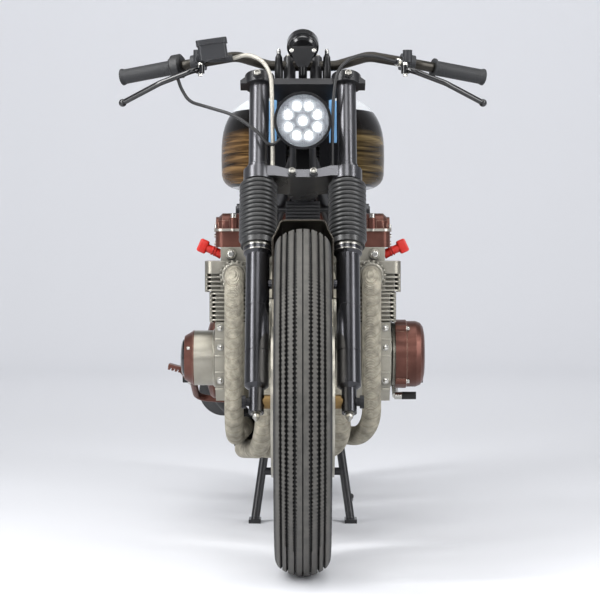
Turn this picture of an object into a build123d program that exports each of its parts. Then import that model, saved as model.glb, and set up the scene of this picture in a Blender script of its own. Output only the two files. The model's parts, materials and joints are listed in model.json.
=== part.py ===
from build123d import *
import os
from math import cos, radians, sin

# Brat style four-cylinder motorcycle, upright on its centre stand.
# Millimetres. X runs across (+X is the rider's left), the front points to -Y, Z is up, floor at Z = 0.

# Wheels and stance
FRONT_TYRE_R = 340.0
FRONT_TYRE_HALF = 53.0
FRONT_RIM_R = 243.0
REAR_TYRE_R = 330.0
REAR_TYRE_HALF = 56.0
REAR_RIM_R = 231.0
RIM_HALF = 30.0
RIM_DEPTH = 13.0
WHEELBASE = 1450.0
REAR_LIFT = 12.0
LENGTH = FRONT_TYRE_R + WHEELBASE + REAR_TYRE_R
FRONT_Y = FRONT_TYRE_R - LENGTH / 2
FRONT_Z = FRONT_TYRE_R
REAR_Y = FRONT_Y + WHEELBASE
REAR_Z = REAR_TYRE_R + REAR_LIFT
AXLE_R = 8.5
SPOKE_R = 2.0
SPOKES_A_SIDE = 18
FRONT_HUB_END = 62.0
DISC_BORE_R = 22.0
FRONT_FLANGE_X = 32.0
FRONT_FLANGE_R = 56.0
REAR_HUB_END = 60.0
REAR_FLANGE_X = 34.0
REAR_FLANGE_R = 78.0
CHAIN_X = 73.0
SPROCKET_T = 6.0
CHAIN_PITCH_R = 104.0
CHAIN_H = 16.0
CHAIN_W = 14.0
TEETH = 36

# Fits: running clearance on pins, seat between fixed pieces
RUN = 0.3
SEAT = 0.3
FIT = 0.15

# Fork and steering head
RAKE = 27.0
FORK_OFFSET = 55.0
FORK_HALF = 91.0
FORK_TUBE_R = 20.5
SLIDER_R = 24.0
SLIDER_TOP = 341.0
GAITER_TOP = 484.0
GAITER_CUFF = 12.0
GAITER_RIBS = 13
GAITER_R = 39.0
GAITER_VALLEY_R = 34.2
GAITER_CUFF_R = 35.0
LOWER_YOKE_T = 489.0
LOWER_YOKE_H = 27.0
LOWER_WEB_DIP = 9.0
UPPER_YOKE_T = 718.0
UPPER_YOKE_H = 24.0
UPPER_WEB_H = 14.0
STEM_R = 13.0
HEAD_TUBE_R = 28.0
DISC_R = 148.0
DISC_X = 59.0
DISC_T = 5.0
MUDGUARD_GAP = 17.0
MUDGUARD_SHEET = 2.5
CLAMP_R = 15.0
LUG_T = 257.0
SLIDER_RINGS_T = (105.0, 204.0)
RING_HALF = 1.5
RING_DEPTH = 1.0
FORK_COLLAR_R = 23.0
FORK_COLLAR_H = 11.0
YOKE_EYE_R = 31.0
YOKE_STEM_BACK = -2.0
YOKE_FRONT = -80.0
PINCH_X = 22.0
PINCH_R = 9.0
PINCH_LENGTH = 8.0
RISER_X = 28.0
RISER_R = 13.0
WING_REACH = 40.0
WING_HALF = 15.0
GUARD_FRONT = 3.0
GUARD_ARC = 34.0
CALIPER_ANGLE = 58.0
CALIPER_REACH = 163.0
CALIPER_GAP = 5.0

# Handlebar and lamp
BAR_R = 11.0
BAR_Y = -348.0
BAR_Z = 1027.0
GRIP_R = 16.0
LAMP_R = 59.0
LAMP_Y = -530.0
LAMP_Z = 902.0
LAMP_DEPTH = 80.0
LED_CIRCLE_R = 32.0
LED_R = 9.0
GAUGE_R = 33.5
GAUGE_Y = -388.0
GAUGE_Z = 1065.0
GAUGE_TILT = 30.0
MARKER_X = 50.5
MARKER_R = 9.0
BAR_BENDS = ((70, 0, 0), (140, 3, 21), (249, 26, 4), (383, 78, -17))
GRIP_START = 31.0
LEVER_R = 6.0
PIVOT_R = 9.0
PIVOT_HALF = 9.0
LEVER_POINTS = ((216, -372, 1018), (232, -386, 1014), (302, -368, 989), (383, -331, 950))
MIRROR_R = 5.0
MIRROR_DEPTH = 14.0
MIRROR_BOSS_R = 10.0
PERCH_X = 222.0
RESERVOIR_X = -189.0
RESERVOIR_Y = -394.0
RESERVOIR_Z = 1056.0
RESERVOIR_W = 60.0
RESERVOIR_D = 46.0
RESERVOIR_DROP = 20.0
LID_AT = 12.0
LID_H = 11.0
LID_LIP = 5.0
HOUSING_R = 26.0
HOSE_R = 4.5
CABLE_R = 3.5

# Engine
ENGINE_FRONT = -250.0
ENGINE_HALF = 190.0
CASE_BOTTOM = 307.0
CASE_TOP = 480.0
BLOCK_TOP = 546.0
HEAD_TOP = 643.0
COVER_TOP = 717.0
BLOCK_DEPTH = 175.0
FIN_PITCH = 9.5
FIN_T = 3.2
BLOCK_FIN_HALF = 203.0
HEAD_FIN_HALF = 213.0
CRANK_Y = -120.0
CRANK_Z = 407.0
PORTS_X = (-147.0, -49.0, 49.0, 147.0)
PORT_Z = 583.0
PORT_LENGTH = 12.0
COLLAR_R = 31.0
COLLAR_LENGTH = 18.0
ALTERNATOR_R = 73.0
ALTERNATOR_X = 204.0
ALTERNATOR_LUGS = (50, 130, 230, 310)
DRUM_R = 61.0
DRUM_X = 240.0
HEAD_FINS = 4
BLOCK_FINS = 7
FIN_DEPTH = 14.0
HEAD_HALF = 178.0
FIN_BLOCK_TOP = 613.0
CAM_R = 31.0
CAM_CAP_R = 23.0
COVER_SPLIT = 677.0
COVER_FLANGE_H = 7.0
COVER_BOSSES_X = (-150.0, -60.0, 60.0, 150.0)
PLUG_REACH = 226.0
PLUG_Z = 627.0
COLLAR_FINS = 18
COLLAR_FIN_T = 4.0
COLLAR_FIN_R = 32.4
COVER_BACK = 148.0

# Exhaust
PIPE_R = 20.5
PIPE_FRONT_Y = -322.0
COLLECTOR_X = -110.0
COLLECTOR_Z = 215.0
COLLECTOR_Y = 0.0
COLLECTOR_R = 52.0
PIPE_PITCH = 43.0
SILENCER_X = -190.0
SILENCER_Z = 296.0
SILENCER_R = 60.0
SILENCER_START = 250.0
SILENCER_END = 650.0
PIPES = (
    # port, bottom x, bottom z, turn y, side of the collector, level of the collector
    (-147, -147, 236.5, -40, -1, 1),
    (-49, -88, 212, -110, -1, -1),
    (49, 88, 212, -110, 1, -1),
    (147, 147, 236.5, -40, 1, 1),
)

# Frame
RAIL_R = 16.0
RAIL_X = 98.0
RAIL_Z = 285.0
DOWNTUBE_Y = -278.0
BACKBONE_R = 26.0
SEAT_RAIL_R = 13.0
SEAT_RAIL_Z = 748.0
SEAT_RAIL_X = 104.0
LOOP_END = 845.0
SWINGARM_Y = 212.0
SWINGARM_Z = 380.0
ARM_X = 110.0
ARM_R = 19.0
SHOCK_X = 152.0
SHOCK_TOP = (520.0, 735.0)
SHOCK_FOOT = (680.0, 392.0)
TANK_PEGS_Y = (-230.0, 0.0)
TUNNEL_HALF = 36.0
SPRING_TURNS = 11

# Tank, seat and tail
TANK_SECTIONS = (
    # y, half width at the bottom, the belly and the top, height of the bottom, the belly and the top
    (-316, 62, 74, 44, 778, 832, 905),
    (-286, 108, 128, 84, 767, 836, 958),
    (-120, 152, 181, 118, 766, 837, 985),
    (60, 136, 160, 96, 766, 830, 968),
    (198, 98, 116, 70, 768, 818, 905),
    (228, 78, 90, 48, 776, 815, 868),
)
CAP_R = 31.0
CAP_Y = -112.0
CAP_SEAT = 974.0
SEAT_START = 236.0
SEAT_END = 838.0
SEAT_THICK = 52.0
TAIL_Y = 862.0
TAIL_Z = 728.0
BATTERY_HALF = 78.0
BATTERY_START = 262.0
BATTERY_END = 410.0
BATTERY_BASE = 592.0
REGULATOR_FINS = 7
REGULATOR_HALF = 36.0
REGULATOR_FRONT = -394.0
REGULATOR_BACK = -378.0
REGULATOR_LOW = 690.0
REGULATOR_H = 50.0
REGULATOR_FIN_PITCH = 7.0
REGULATOR_FIN_REACH = 8.0
REGULATOR_BAR_Z = 722.0
REGULATOR_BAR_Y = -368.5

# Foot controls and centre stand
STAND_Y = 160.0
STAND_Z = 243.0
STAND_PIN_R = 6.0
STAND_TUBE_R = 11.0
STAND_FOOT_X = 112.0
STAND_LEG_X = 78.0
STAND_BRACE_Z = 118.0
STAND_FOOT_Y = 128.0
PEG_Y = 207.0
PEG_Z = 335.0
PEG_R = 13.0
PEG_START = 140.0
PEG_END = 284.0
PAD_TEETH = 5
SHIFT_X = 208.0
SHIFT_Y = 8.0
SHIFT_Z = 336.0
SHIFT_LENGTH = 82.0
SHIFT_FALL = 26.0
SHIFT_TOE = 46.0

STEER_UP = Vector(0, sin(radians(RAKE)), cos(radians(RAKE)))
STEER_BACK = Vector(0, cos(radians(RAKE)), -sin(radians(RAKE)))
FRONT_AXLE = Vector(0, FRONT_Y, FRONT_Z)
REAR_AXLE = Vector(0, REAR_Y, REAR_Z)
STEER_BASE = FRONT_AXLE + STEER_BACK * FORK_OFFSET
# Local frame of the steering: x across, y backward, z up the steering axis from the wheel's level.
STEER = Plane(origin=STEER_BASE, x_dir=(1, 0, 0), z_dir=STEER_UP)


def steer_point(x, back, up):
    """A point of the steering's local frame, in the motorcycle's frame."""
    return STEER_BASE + Vector(x, 0, 0) + STEER_BACK * back + STEER_UP * up


def turn(origin, direction, profile, mode=Mode.ADD, hollow=False):
    """Revolves a profile of (distance along, radius) pairs about the axis through origin."""
    along = Vector(direction).normalized()
    helper = Vector(0, 0, 1) if abs(along.X) > 0.9 else Vector(1, 0, 0)
    points = list(profile)
    if not hollow:
        if points[0][1] > 0:
            points.insert(0, (points[0][0], 0))
        if points[-1][1] > 0:
            points.append((points[-1][0], 0))
    with BuildSketch(Plane(origin=origin, x_dir=along, z_dir=along.cross(helper))) as section:
        with BuildLine():
            Polyline(*points, close=True)
        make_face()
    revolve(section.sketch, axis=Axis(origin, along), mode=mode)


def bar(start, end, radius, mode=Mode.ADD):
    """A straight round bar from one point to another."""
    run = Vector(*end) - Vector(*start)
    with BuildSketch(Plane(origin=start, z_dir=run)) as section:
        Circle(radius)
    extrude(section.sketch, amount=run.length, mode=mode)


def tube(points, radius, bends):
    """A round tube along straight runs that are joined by arcs."""
    with BuildLine() as route:
        FilletPolyline(*points, radius=bends)
    with BuildSketch(Plane(origin=route.line @ 0, z_dir=route.line % 0)) as section:
        Circle(radius)
    sweep(section.sketch, path=route.line)


def block(x, y, z):
    """A box between two values on each axis."""
    with Locations(((x[0] + x[1]) / 2, (y[0] + y[1]) / 2, (z[0] + z[1]) / 2)):
        Box(x[1] - x[0], y[1] - y[0], z[1] - z[0])


def tyre_section(plane, half, rim_r, tyre_r):
    """The closed tyre section in a plane whose x runs across and y is the radius."""
    bead = RIM_HALF - SEAT
    shoulder = (half * 0.89, tyre_r - 18)
    with BuildSketch(plane) as section:
        with BuildLine():
            Line((-bead, rim_r), (bead, rim_r))
            Line((bead, rim_r), (bead, rim_r + 9))
            ThreePointArc((bead, rim_r + 9), (half, (rim_r + tyre_r) / 2), shoulder)
            ThreePointArc(shoulder, (0, tyre_r), (-shoulder[0], shoulder[1]))
            ThreePointArc((-shoulder[0], shoulder[1]), (-half, (rim_r + tyre_r) / 2), (-bead, rim_r + 9))
            Line((-bead, rim_r + 9), (-bead, rim_r))
        make_face()
    return section.sketch


def rim_profile(rim_r):
    """The rim's section as (across, radius) pairs, with its two flanges."""
    return [
        (-RIM_HALF - 5, rim_r + 8),
        (-RIM_HALF, rim_r + 8),
        (-RIM_HALF, rim_r),
        (RIM_HALF, rim_r),
        (RIM_HALF, rim_r + 8),
        (RIM_HALF + 5, rim_r + 8),
        (RIM_HALF + 5, rim_r - 3),
        (RIM_HALF - 12, rim_r - RIM_DEPTH),
        (-RIM_HALF + 12, rim_r - RIM_DEPTH),
        (-RIM_HALF - 5, rim_r - 3),
    ]


def spoke_planes(axle, flange_x, flange_r, rim_r):
    """Planes at the spokes' heads, and the spokes' common length, laced to lean both ways."""
    planes = []
    length = 0
    for side in (-1, 1):
        for k in range(SPOKES_A_SIDE):
            lean = 38 if k % 2 else -38
            step = 360 / SPOKES_A_SIDE
            start = radians(k * step + (0 if side > 0 else step / 2))
            end = start + radians(lean)
            head_x = side * (flange_x + (2.5 if k % 2 else -2.5))
            head = axle + Vector(head_x, flange_r * cos(start), flange_r * sin(start))
            tip_r = rim_r - RIM_DEPTH - SEAT - 0.65 * SPOKE_R
            tip = axle + Vector(side * 9, tip_r * cos(end), tip_r * sin(end))
            planes.append(Plane(origin=head, z_dir=tip - head))
            length = max(length, (tip - head).length)
    return planes, length


WHEEL_FRONT = Plane(origin=FRONT_AXLE, x_dir=(1, 0, 0), z_dir=(0, -1, 0))
WHEEL_REAR = Plane(origin=REAR_AXLE, x_dir=(1, 0, 0), z_dir=(0, -1, 0))
FRONT_AXIS = Axis(FRONT_AXLE, (1, 0, 0))
REAR_AXIS = Axis(REAR_AXLE, (1, 0, 0))

# Front wheel
with BuildPart() as front_tyre:
    revolve(tyre_section(WHEEL_FRONT, FRONT_TYRE_HALF, FRONT_RIM_R, FRONT_TYRE_R), axis=FRONT_AXIS)

with BuildPart() as front_rim:
    turn(FRONT_AXLE, (1, 0, 0), rim_profile(FRONT_RIM_R), hollow=True)

DISC_SEAT = DISC_X - DISC_T / 2
with BuildPart() as front_hub:
    turn(
        FRONT_AXLE,
        (1, 0, 0),
        [
            (-FRONT_HUB_END, DISC_BORE_R),
            (-DISC_SEAT, DISC_BORE_R),
            (-DISC_SEAT, 50),
            (-DISC_SEAT + 6, 50),
            (-FRONT_FLANGE_X - 5, 34),
            (-FRONT_FLANGE_X - 5, FRONT_FLANGE_R + 5),
            (-FRONT_FLANGE_X + 5, FRONT_FLANGE_R + 5),
            (-FRONT_FLANGE_X + 5, 30),
            (FRONT_FLANGE_X - 5, 30),
            (FRONT_FLANGE_X - 5, FRONT_FLANGE_R + 5),
            (FRONT_FLANGE_X + 5, FRONT_FLANGE_R + 5),
            (FRONT_FLANGE_X + 5, 34),
            (DISC_SEAT - 6, 50),
            (DISC_SEAT, 50),
            (DISC_SEAT, DISC_BORE_R),
            (FRONT_HUB_END, DISC_BORE_R),
        ],
    )
    front_spokes, front_spoke_length = spoke_planes(
        FRONT_AXLE, FRONT_FLANGE_X, FRONT_FLANGE_R, FRONT_RIM_R
    )
    with BuildSketch(*front_spokes):
        Circle(SPOKE_R)
    extrude(amount=front_spoke_length)
    bar((-FRONT_HUB_END, FRONT_Y, FRONT_Z), (FRONT_HUB_END, FRONT_Y, FRONT_Z), AXLE_R + RUN, Mode.SUBTRACT)

with BuildPart() as front_discs:
    for side in (-1, 1):
        face = Plane(origin=(side * DISC_X - DISC_T / 2, FRONT_Y, FRONT_Z), x_dir=(0, 1, 0), z_dir=(1, 0, 0))
        with BuildSketch(face):
            Circle(DISC_R)
            Circle(DISC_BORE_R + FIT, mode=Mode.SUBTRACT)
            with PolarLocations(78, 6):
                SlotOverall(44, 18, rotation=90, mode=Mode.SUBTRACT)
        extrude(amount=DISC_T)

# Front fork


def groove(at):
    """A shallow ring groove round a slider, as (distance along, radius) pairs."""
    return [
        (at - RING_HALF, SLIDER_R),
        (at - RING_HALF, SLIDER_R - RING_DEPTH),
        (at + RING_HALF, SLIDER_R - RING_DEPTH),
        (at + RING_HALF, SLIDER_R),
    ]


with BuildPart() as fork_sliders:
    turn(
        steer_point(FORK_HALF, -FORK_OFFSET, 0),
        STEER_UP,
        [
            (-24, CLAMP_R),
            (26, CLAMP_R),
            (34, SLIDER_R),
            *groove(SLIDER_RINGS_T[0]),
            *groove(SLIDER_RINGS_T[1]),
            (SLIDER_TOP - 22, SLIDER_R),
            (SLIDER_TOP - 16, SLIDER_R + 5),
            (SLIDER_TOP, SLIDER_R + 5),
        ],
    )
    lug = steer_point(FORK_HALF, -FORK_OFFSET, LUG_T)
    bar((62, lug.Y, lug.Z), (FORK_HALF, lug.Y, lug.Z), 10)
    bar((0, FRONT_Y, FRONT_Z), (FORK_HALF + CLAMP_R, FRONT_Y, FRONT_Z), AXLE_R + FIT, Mode.SUBTRACT)
    mirror(about=Plane.YZ)

COLLAR_LOW = LOWER_YOKE_T + LOWER_YOKE_H + SEAT
with BuildPart() as fork_uppers:
    turn(
        steer_point(FORK_HALF, -FORK_OFFSET, 0),
        STEER_UP,
        [
            (SLIDER_TOP + SEAT, FORK_TUBE_R),
            (COLLAR_LOW, FORK_TUBE_R),
            (COLLAR_LOW, FORK_COLLAR_R),
            (COLLAR_LOW + FORK_COLLAR_H, FORK_COLLAR_R),
            (COLLAR_LOW + FORK_COLLAR_H + 2, FORK_TUBE_R),
            (UPPER_YOKE_T + UPPER_YOKE_H + 3, FORK_TUBE_R),
            (UPPER_YOKE_T + UPPER_YOKE_H + 7, FORK_TUBE_R - 5),
        ],
    )
    mirror(about=Plane.YZ)

with BuildPart() as fork_gaiters:
    cuff_low = SLIDER_TOP + SEAT
    gaiter_base = cuff_low + GAITER_CUFF
    pitch = (GAITER_TOP - SEAT - gaiter_base) / GAITER_RIBS
    gaiter_axis = steer_point(FORK_HALF, -FORK_OFFSET, 0)
    with BuildSketch(Plane(origin=gaiter_axis, x_dir=(1, 0, 0), z_dir=-STEER_BACK)):
        with BuildLine():
            for k in range(GAITER_RIBS):
                low = gaiter_base + k * pitch
                ThreePointArc(
                    (GAITER_VALLEY_R, low), (GAITER_R, low + pitch / 2), (GAITER_VALLEY_R, low + pitch)
                )
            top = gaiter_base + GAITER_RIBS * pitch
            bore = FORK_TUBE_R + SEAT
            Polyline(
                (GAITER_VALLEY_R, top),
                (bore, top),
                (bore, cuff_low),
                (GAITER_CUFF_R, cuff_low),
                (GAITER_CUFF_R, gaiter_base),
                (GAITER_VALLEY_R, gaiter_base),
            )
        make_face()
    revolve(axis=Axis(gaiter_axis, STEER_UP))
    mirror(about=Plane.YZ)

fork_spots = [(-FORK_HALF, -FORK_OFFSET), (FORK_HALF, -FORK_OFFSET)]


def fork_eyes(low, height):
    """The two eyes of a yoke, round the fork tubes."""
    with BuildSketch(STEER.offset(low)) as eyes:
        with Locations(*fork_spots):
            Circle(YOKE_EYE_R)
    extrude(eyes.sketch, amount=height)


def fork_bores(low, height):
    """The fork tubes' bores through both eyes of a yoke."""
    with BuildSketch(STEER.offset(low - 1)) as bores:
        with Locations(*fork_spots):
            Circle(FORK_TUBE_R + FIT)
    extrude(bores.sketch, amount=height + 2, mode=Mode.SUBTRACT)


# The lower yoke's web dips between the eyes like an arch, with two pinch bosses on its front
with BuildPart() as lower_yoke:
    fork_eyes(LOWER_YOKE_T, LOWER_YOKE_H)
    web_front = Plane(origin=STEER_BASE + STEER_BACK * YOKE_FRONT, x_dir=(1, 0, 0), z_dir=-STEER_BACK)
    web_top = LOWER_YOKE_T + LOWER_YOKE_H
    with BuildSketch(web_front) as web:
        with BuildLine():
            Polyline(
                (-FORK_HALF, web_top),
                (-58, web_top),
                (-26, web_top - LOWER_WEB_DIP),
                (26, web_top - LOWER_WEB_DIP),
                (58, web_top),
                (FORK_HALF, web_top),
                (FORK_HALF, LOWER_YOKE_T + 4),
                (58, LOWER_YOKE_T + 4),
                (26, LOWER_YOKE_T),
                (-26, LOWER_YOKE_T),
                (-58, LOWER_YOKE_T + 4),
                (-FORK_HALF, LOWER_YOKE_T + 4),
                close=True,
            )
        make_face()
    extrude(web.sketch, amount=-(FORK_OFFSET + YOKE_STEM_BACK + 25))
    bar(
        steer_point(0, YOKE_STEM_BACK, LOWER_YOKE_T),
        steer_point(0, YOKE_STEM_BACK, web_top - LOWER_WEB_DIP),
        YOKE_EYE_R,
    )
    for x in (-PINCH_X, PINCH_X):
        pinch_t = LOWER_YOKE_T + (LOWER_YOKE_H - LOWER_WEB_DIP) / 2
        bar(
            steer_point(x, YOKE_FRONT, pinch_t),
            steer_point(x, YOKE_FRONT - PINCH_LENGTH, pinch_t),
            PINCH_R,
        )
    fork_bores(LOWER_YOKE_T, LOWER_YOKE_H)
    bar(steer_point(0, 0, LOWER_YOKE_T), steer_point(0, 0, UPPER_YOKE_T - SEAT), STEM_R)

RISER_BACK = (Vector(0, BAR_Y, BAR_Z) - STEER_BASE).dot(STEER_BACK)
BAR_UP = (Vector(0, BAR_Y, BAR_Z) - STEER_BASE).dot(STEER_UP)
WEB_TOP = UPPER_YOKE_T + UPPER_WEB_H
with BuildPart() as upper_yoke:
    fork_eyes(UPPER_YOKE_T, UPPER_YOKE_H)
    with BuildSketch(STEER.offset(UPPER_YOKE_T)) as plate:
        with Locations((-FORK_HALF, 10 - FORK_OFFSET), (FORK_HALF, 10 - FORK_OFFSET), (0, 18 - FORK_OFFSET)):
            Circle(21)
        with Locations((0, YOKE_STEM_BACK)):
            Circle(YOKE_EYE_R)
        make_hull()
    extrude(plate.sketch, amount=UPPER_WEB_H)
    wing_back = Plane(
        origin=STEER_BASE + STEER_BACK * (WING_HALF - FORK_OFFSET), x_dir=(1, 0, 0), z_dir=-STEER_BACK
    )
    for side in (-1, 1):
        tip = side * (FORK_HALF + WING_REACH)
        with BuildSketch(wing_back) as wing:
            with BuildLine():
                Polyline(
                    (side * FORK_HALF, UPPER_YOKE_T),
                    (tip, UPPER_YOKE_T),
                    (tip, UPPER_YOKE_T + 7),
                    (side * (FORK_HALF + 19), UPPER_YOKE_T + UPPER_YOKE_H),
                    (side * FORK_HALF, UPPER_YOKE_T + UPPER_YOKE_H),
                    close=True,
                )
            make_face()
        extrude(wing.sketch, amount=2 * WING_HALF)
        pinch = UPPER_YOKE_T + UPPER_YOKE_H / 2
        bar(
            steer_point(side * (FORK_HALF + 4), -FORK_OFFSET, pinch),
            steer_point(side * (FORK_HALF + 4), -FORK_OFFSET - YOKE_EYE_R - 4, pinch),
            PINCH_R,
        )
    fork_bores(UPPER_YOKE_T, UPPER_YOKE_H)
    for x in (-RISER_X, RISER_X):
        bar(steer_point(x, RISER_BACK, WEB_TOP), steer_point(x, RISER_BACK, BAR_UP + BAR_R + 7), RISER_R)
    bar((-60, BAR_Y, BAR_Z), (60, BAR_Y, BAR_Z), BAR_R + FIT, Mode.SUBTRACT)
    bar(steer_point(0, 0, WEB_TOP), steer_point(0, 0, WEB_TOP + 9), 15)

with BuildPart() as front_axle:
    reach = FORK_HALF + CLAMP_R + 6
    bar((-reach, FRONT_Y, FRONT_Z), (reach, FRONT_Y, FRONT_Z), AXLE_R)
    for side in (-1, 1):
        spacer_end = FORK_HALF - CLAMP_R - SEAT
        for inner, outer, radius in ((FRONT_HUB_END + 1, spacer_end, 14), (reach, reach + 8, 13)):
            bar((side * inner, FRONT_Y, FRONT_Z), (side * outer, FRONT_Y, FRONT_Z), radius)

# Front mudguard: a short hoop over the tyre with a stay down to each slider
GUARD_R = FRONT_TYRE_R + MUDGUARD_GAP
GUARD_HALF = FRONT_TYRE_HALF + 6.0
GUARD_TOP_HALF = FORK_HALF - GAITER_R - 2.5
STAY_X = FRONT_TYRE_HALF + 5.2
with BuildPart() as front_mudguard:
    tilt = radians(GUARD_FRONT)
    guard_up = Vector(0, sin(tilt), cos(tilt))
    with BuildSketch(Plane(origin=FRONT_AXLE, x_dir=(1, 0, 0), z_dir=guard_up.cross(Vector(1, 0, 0)) * -1)):
        with BuildLine():
            outer = [
                (-GUARD_HALF, GUARD_R - 35),
                (-GUARD_TOP_HALF, GUARD_R - 17),
                (-GUARD_TOP_HALF + 6, GUARD_R),
                (GUARD_TOP_HALF - 6, GUARD_R),
                (GUARD_TOP_HALF, GUARD_R - 17),
                (GUARD_HALF, GUARD_R - 35),
            ]
            FilletPolyline(*outer, radius=(12, 10, 10, 12))
        trace(line_width=MUDGUARD_SHEET)
    revolve(axis=FRONT_AXIS, revolution_arc=-GUARD_ARC)
    with BuildSketch(Plane(origin=(STAY_X, 0, 0), x_dir=(0, 1, 0), z_dir=(1, 0, 0))):
        with BuildLine():
            Polyline(
                (FRONT_Y + 60, FRONT_Z + 322),
                (FRONT_Y + 130, FRONT_Z + 300),
                (lug.Y + 16, lug.Z - 30),
                (lug.Y - 16, lug.Z - 30),
                close=True,
            )
        make_face()
    extrude(amount=62 - SEAT - STAY_X)
    mirror(about=Plane.YZ)

# Brake calipers straddle the discs behind the sliders, each on a cast arm up to the slider
caliper_out = Vector(0, sin(radians(CALIPER_ANGLE)), cos(radians(CALIPER_ANGLE)))
with BuildPart() as brake_calipers:
    caliper = FRONT_AXLE + caliper_out * CALIPER_REACH + Vector(DISC_X, 0, 0)
    with BuildSketch(Plane(origin=caliper, x_dir=caliper_out, z_dir=(1, 0, 0))):
        RectangleRounded(64, 92, 14)
    extrude(amount=23)
    with BuildSketch(Plane(origin=caliper, x_dir=caliper_out, z_dir=(-1, 0, 0))):
        RectangleRounded(58, 80, 14)
    extrude(amount=16)
    arm_low = caliper + caliper_out * 20
    arm_high = steer_point(0, -FORK_OFFSET, 206)
    with BuildSketch(Plane(origin=(FORK_HALF - SLIDER_R - SEAT, 0, 0), x_dir=(0, 1, 0), z_dir=(1, 0, 0))):
        with Locations((arm_low.Y, arm_low.Z), (arm_low.Y - 34, arm_low.Z + 36), (arm_high.Y, arm_high.Z)):
            Circle(19)
        make_hull()
    extrude(amount=-5)
    slot = Vector(DISC_SEAT - CALIPER_GAP, FRONT_Y, FRONT_Z)
    bar(slot, slot + Vector(DISC_T + 2 * CALIPER_GAP, 0, 0), DISC_R + 6, Mode.SUBTRACT)
    mirror(about=Plane.YZ)

# Lamp
with BuildPart() as headlamp_shell:
    turn(
        (0, LAMP_Y, LAMP_Z),
        (0, 1, 0),
        [
            (0, LAMP_R - 5),
            (0, LAMP_R),
            (14, LAMP_R),
            (16, LAMP_R - 3),
            (40, LAMP_R - 7),
            (64, LAMP_R - 22),
            (LAMP_DEPTH, 16),
            (LAMP_DEPTH, 0),
            (14, 0),
            (14, LAMP_R - 5),
        ],
        hollow=True,
    )
    foot = steer_point(0, -FORK_OFFSET - 8, web_top - LOWER_WEB_DIP + SEAT)
    foot_front = foot - STEER_BACK * 16
    foot_back = foot + STEER_BACK * 16
    lamp_back = LAMP_Y + LAMP_DEPTH
    with BuildSketch(Plane(origin=(-14, 0, 0), x_dir=(0, 1, 0), z_dir=(1, 0, 0))):
        with BuildLine():
            Polyline(
                (foot_front.Y, foot_front.Z),
                (foot_back.Y, foot_back.Z),
                (lamp_back + 8, LAMP_Z - 12),
                (lamp_back + 8, LAMP_Z + 12),
                (lamp_back - 4, LAMP_Z + 12),
                (lamp_back - 4, LAMP_Z - 24),
                close=True,
            )
        make_face()
    extrude(amount=28)

with BuildPart() as headlamp_reflector:
    with BuildSketch(Plane(origin=(0, LAMP_Y + 14, LAMP_Z), x_dir=(1, 0, 0), z_dir=(0, -1, 0))):
        Circle(LAMP_R - 5 - FIT)
    extrude(amount=9)
    cups = [(0, 0)]
    for k in range(8):
        angle = radians(22.5 + 45 * k)
        cups.append((LED_CIRCLE_R * cos(angle), LED_CIRCLE_R * sin(angle)))
    with Locations(Plane(origin=(0, LAMP_Y + 5, LAMP_Z), x_dir=(1, 0, 0), z_dir=(0, -1, 0))):
        with Locations(*cups):
            Hole(LED_R, depth=4)

with BuildPart() as headlamp_lens:
    with BuildSketch(Plane(origin=(0, LAMP_Y + 5, LAMP_Z), x_dir=(1, 0, 0), z_dir=(0, -1, 0))):
        Circle(LAMP_R - 5 - FIT)
    extrude(amount=4)

# Speedometer on its bracket, and two tapered marker lamps on the upper yoke
gauge_dir = Vector(0, cos(radians(GAUGE_TILT)), sin(radians(GAUGE_TILT)))
with BuildPart() as speedometer:
    turn(
        (0, GAUGE_Y, GAUGE_Z),
        gauge_dir,
        [(-18, 24), (-14, 28), (-6, 29), (-4, GAUGE_R), (14, GAUGE_R), (16, GAUGE_R - 3)],
    )
    neck = Vector(0, GAUGE_Y, GAUGE_Z) + gauge_dir * -20
    seat_point = steer_point(0, -45, WEB_TOP + 7.6)
    bar(seat_point, neck + Vector(0, 6, 0), 9)
    with BuildSketch(Plane(origin=(0, GAUGE_Y - 22, GAUGE_Z), x_dir=(1, 0, 0), z_dir=(0, -1, 0))):
        with BuildLine():
            Polyline((-31, -2), (31, -2), (12, -44), (-12, -44), close=True)
        make_face()
        fillet(vertices(), 7)
    extrude(amount=-8)

with BuildPart() as marker_lamps:
    turn(
        steer_point(MARKER_X, -38, WEB_TOP + 5.3),
        (0, -0.12, 1),
        [(0, MARKER_R), (22, MARKER_R), (54, MARKER_R - 1.5), (60, 4.5), (68, 4.5), (72, 2.5)],
    )
    mirror(about=Plane.YZ)

# Handlebar and its controls
bar_side = [Vector(x, BAR_Y + y, BAR_Z + z) for x, y, z in BAR_BENDS]
bar_points = [Vector(-p.X, p.Y, p.Z) for p in reversed(bar_side)] + bar_side
with BuildPart() as handlebar:
    tube(bar_points, BAR_R, 60)

grip_run = (bar_side[3] - bar_side[2]).normalized()
with BuildPart() as grips:
    grip_base = bar_side[2] + grip_run * GRIP_START
    turn(
        grip_base,
        grip_run,
        [(0, GRIP_R + 4), (4, GRIP_R + 4), (6, GRIP_R), (112, GRIP_R), (118, GRIP_R + 2), (120, GRIP_R + 2)],
    )
    bar(grip_base - grip_run, bar_side[3] + grip_run * 0.3, BAR_R + FIT, Mode.SUBTRACT)
    mirror(about=Plane.YZ)

pivot = Vector(*LEVER_POINTS[0])
with BuildPart() as levers:
    tube([Vector(*p) for p in LEVER_POINTS], LEVER_R, (20, 60))
    with Locations(LEVER_POINTS[-1]):
        Sphere(8.5)
    bar(pivot - Vector(0, 0, PIVOT_HALF), pivot + Vector(0, 0, PIVOT_HALF), PIVOT_R)
    mirror(about=Plane.YZ)


def on_bar(x):
    """The handlebar's centre at a distance across, on its long outward run."""
    share = (x - bar_side[1].X) / (bar_side[2].X - bar_side[1].X)
    return bar_side[1] + (bar_side[2] - bar_side[1]) * share


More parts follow.
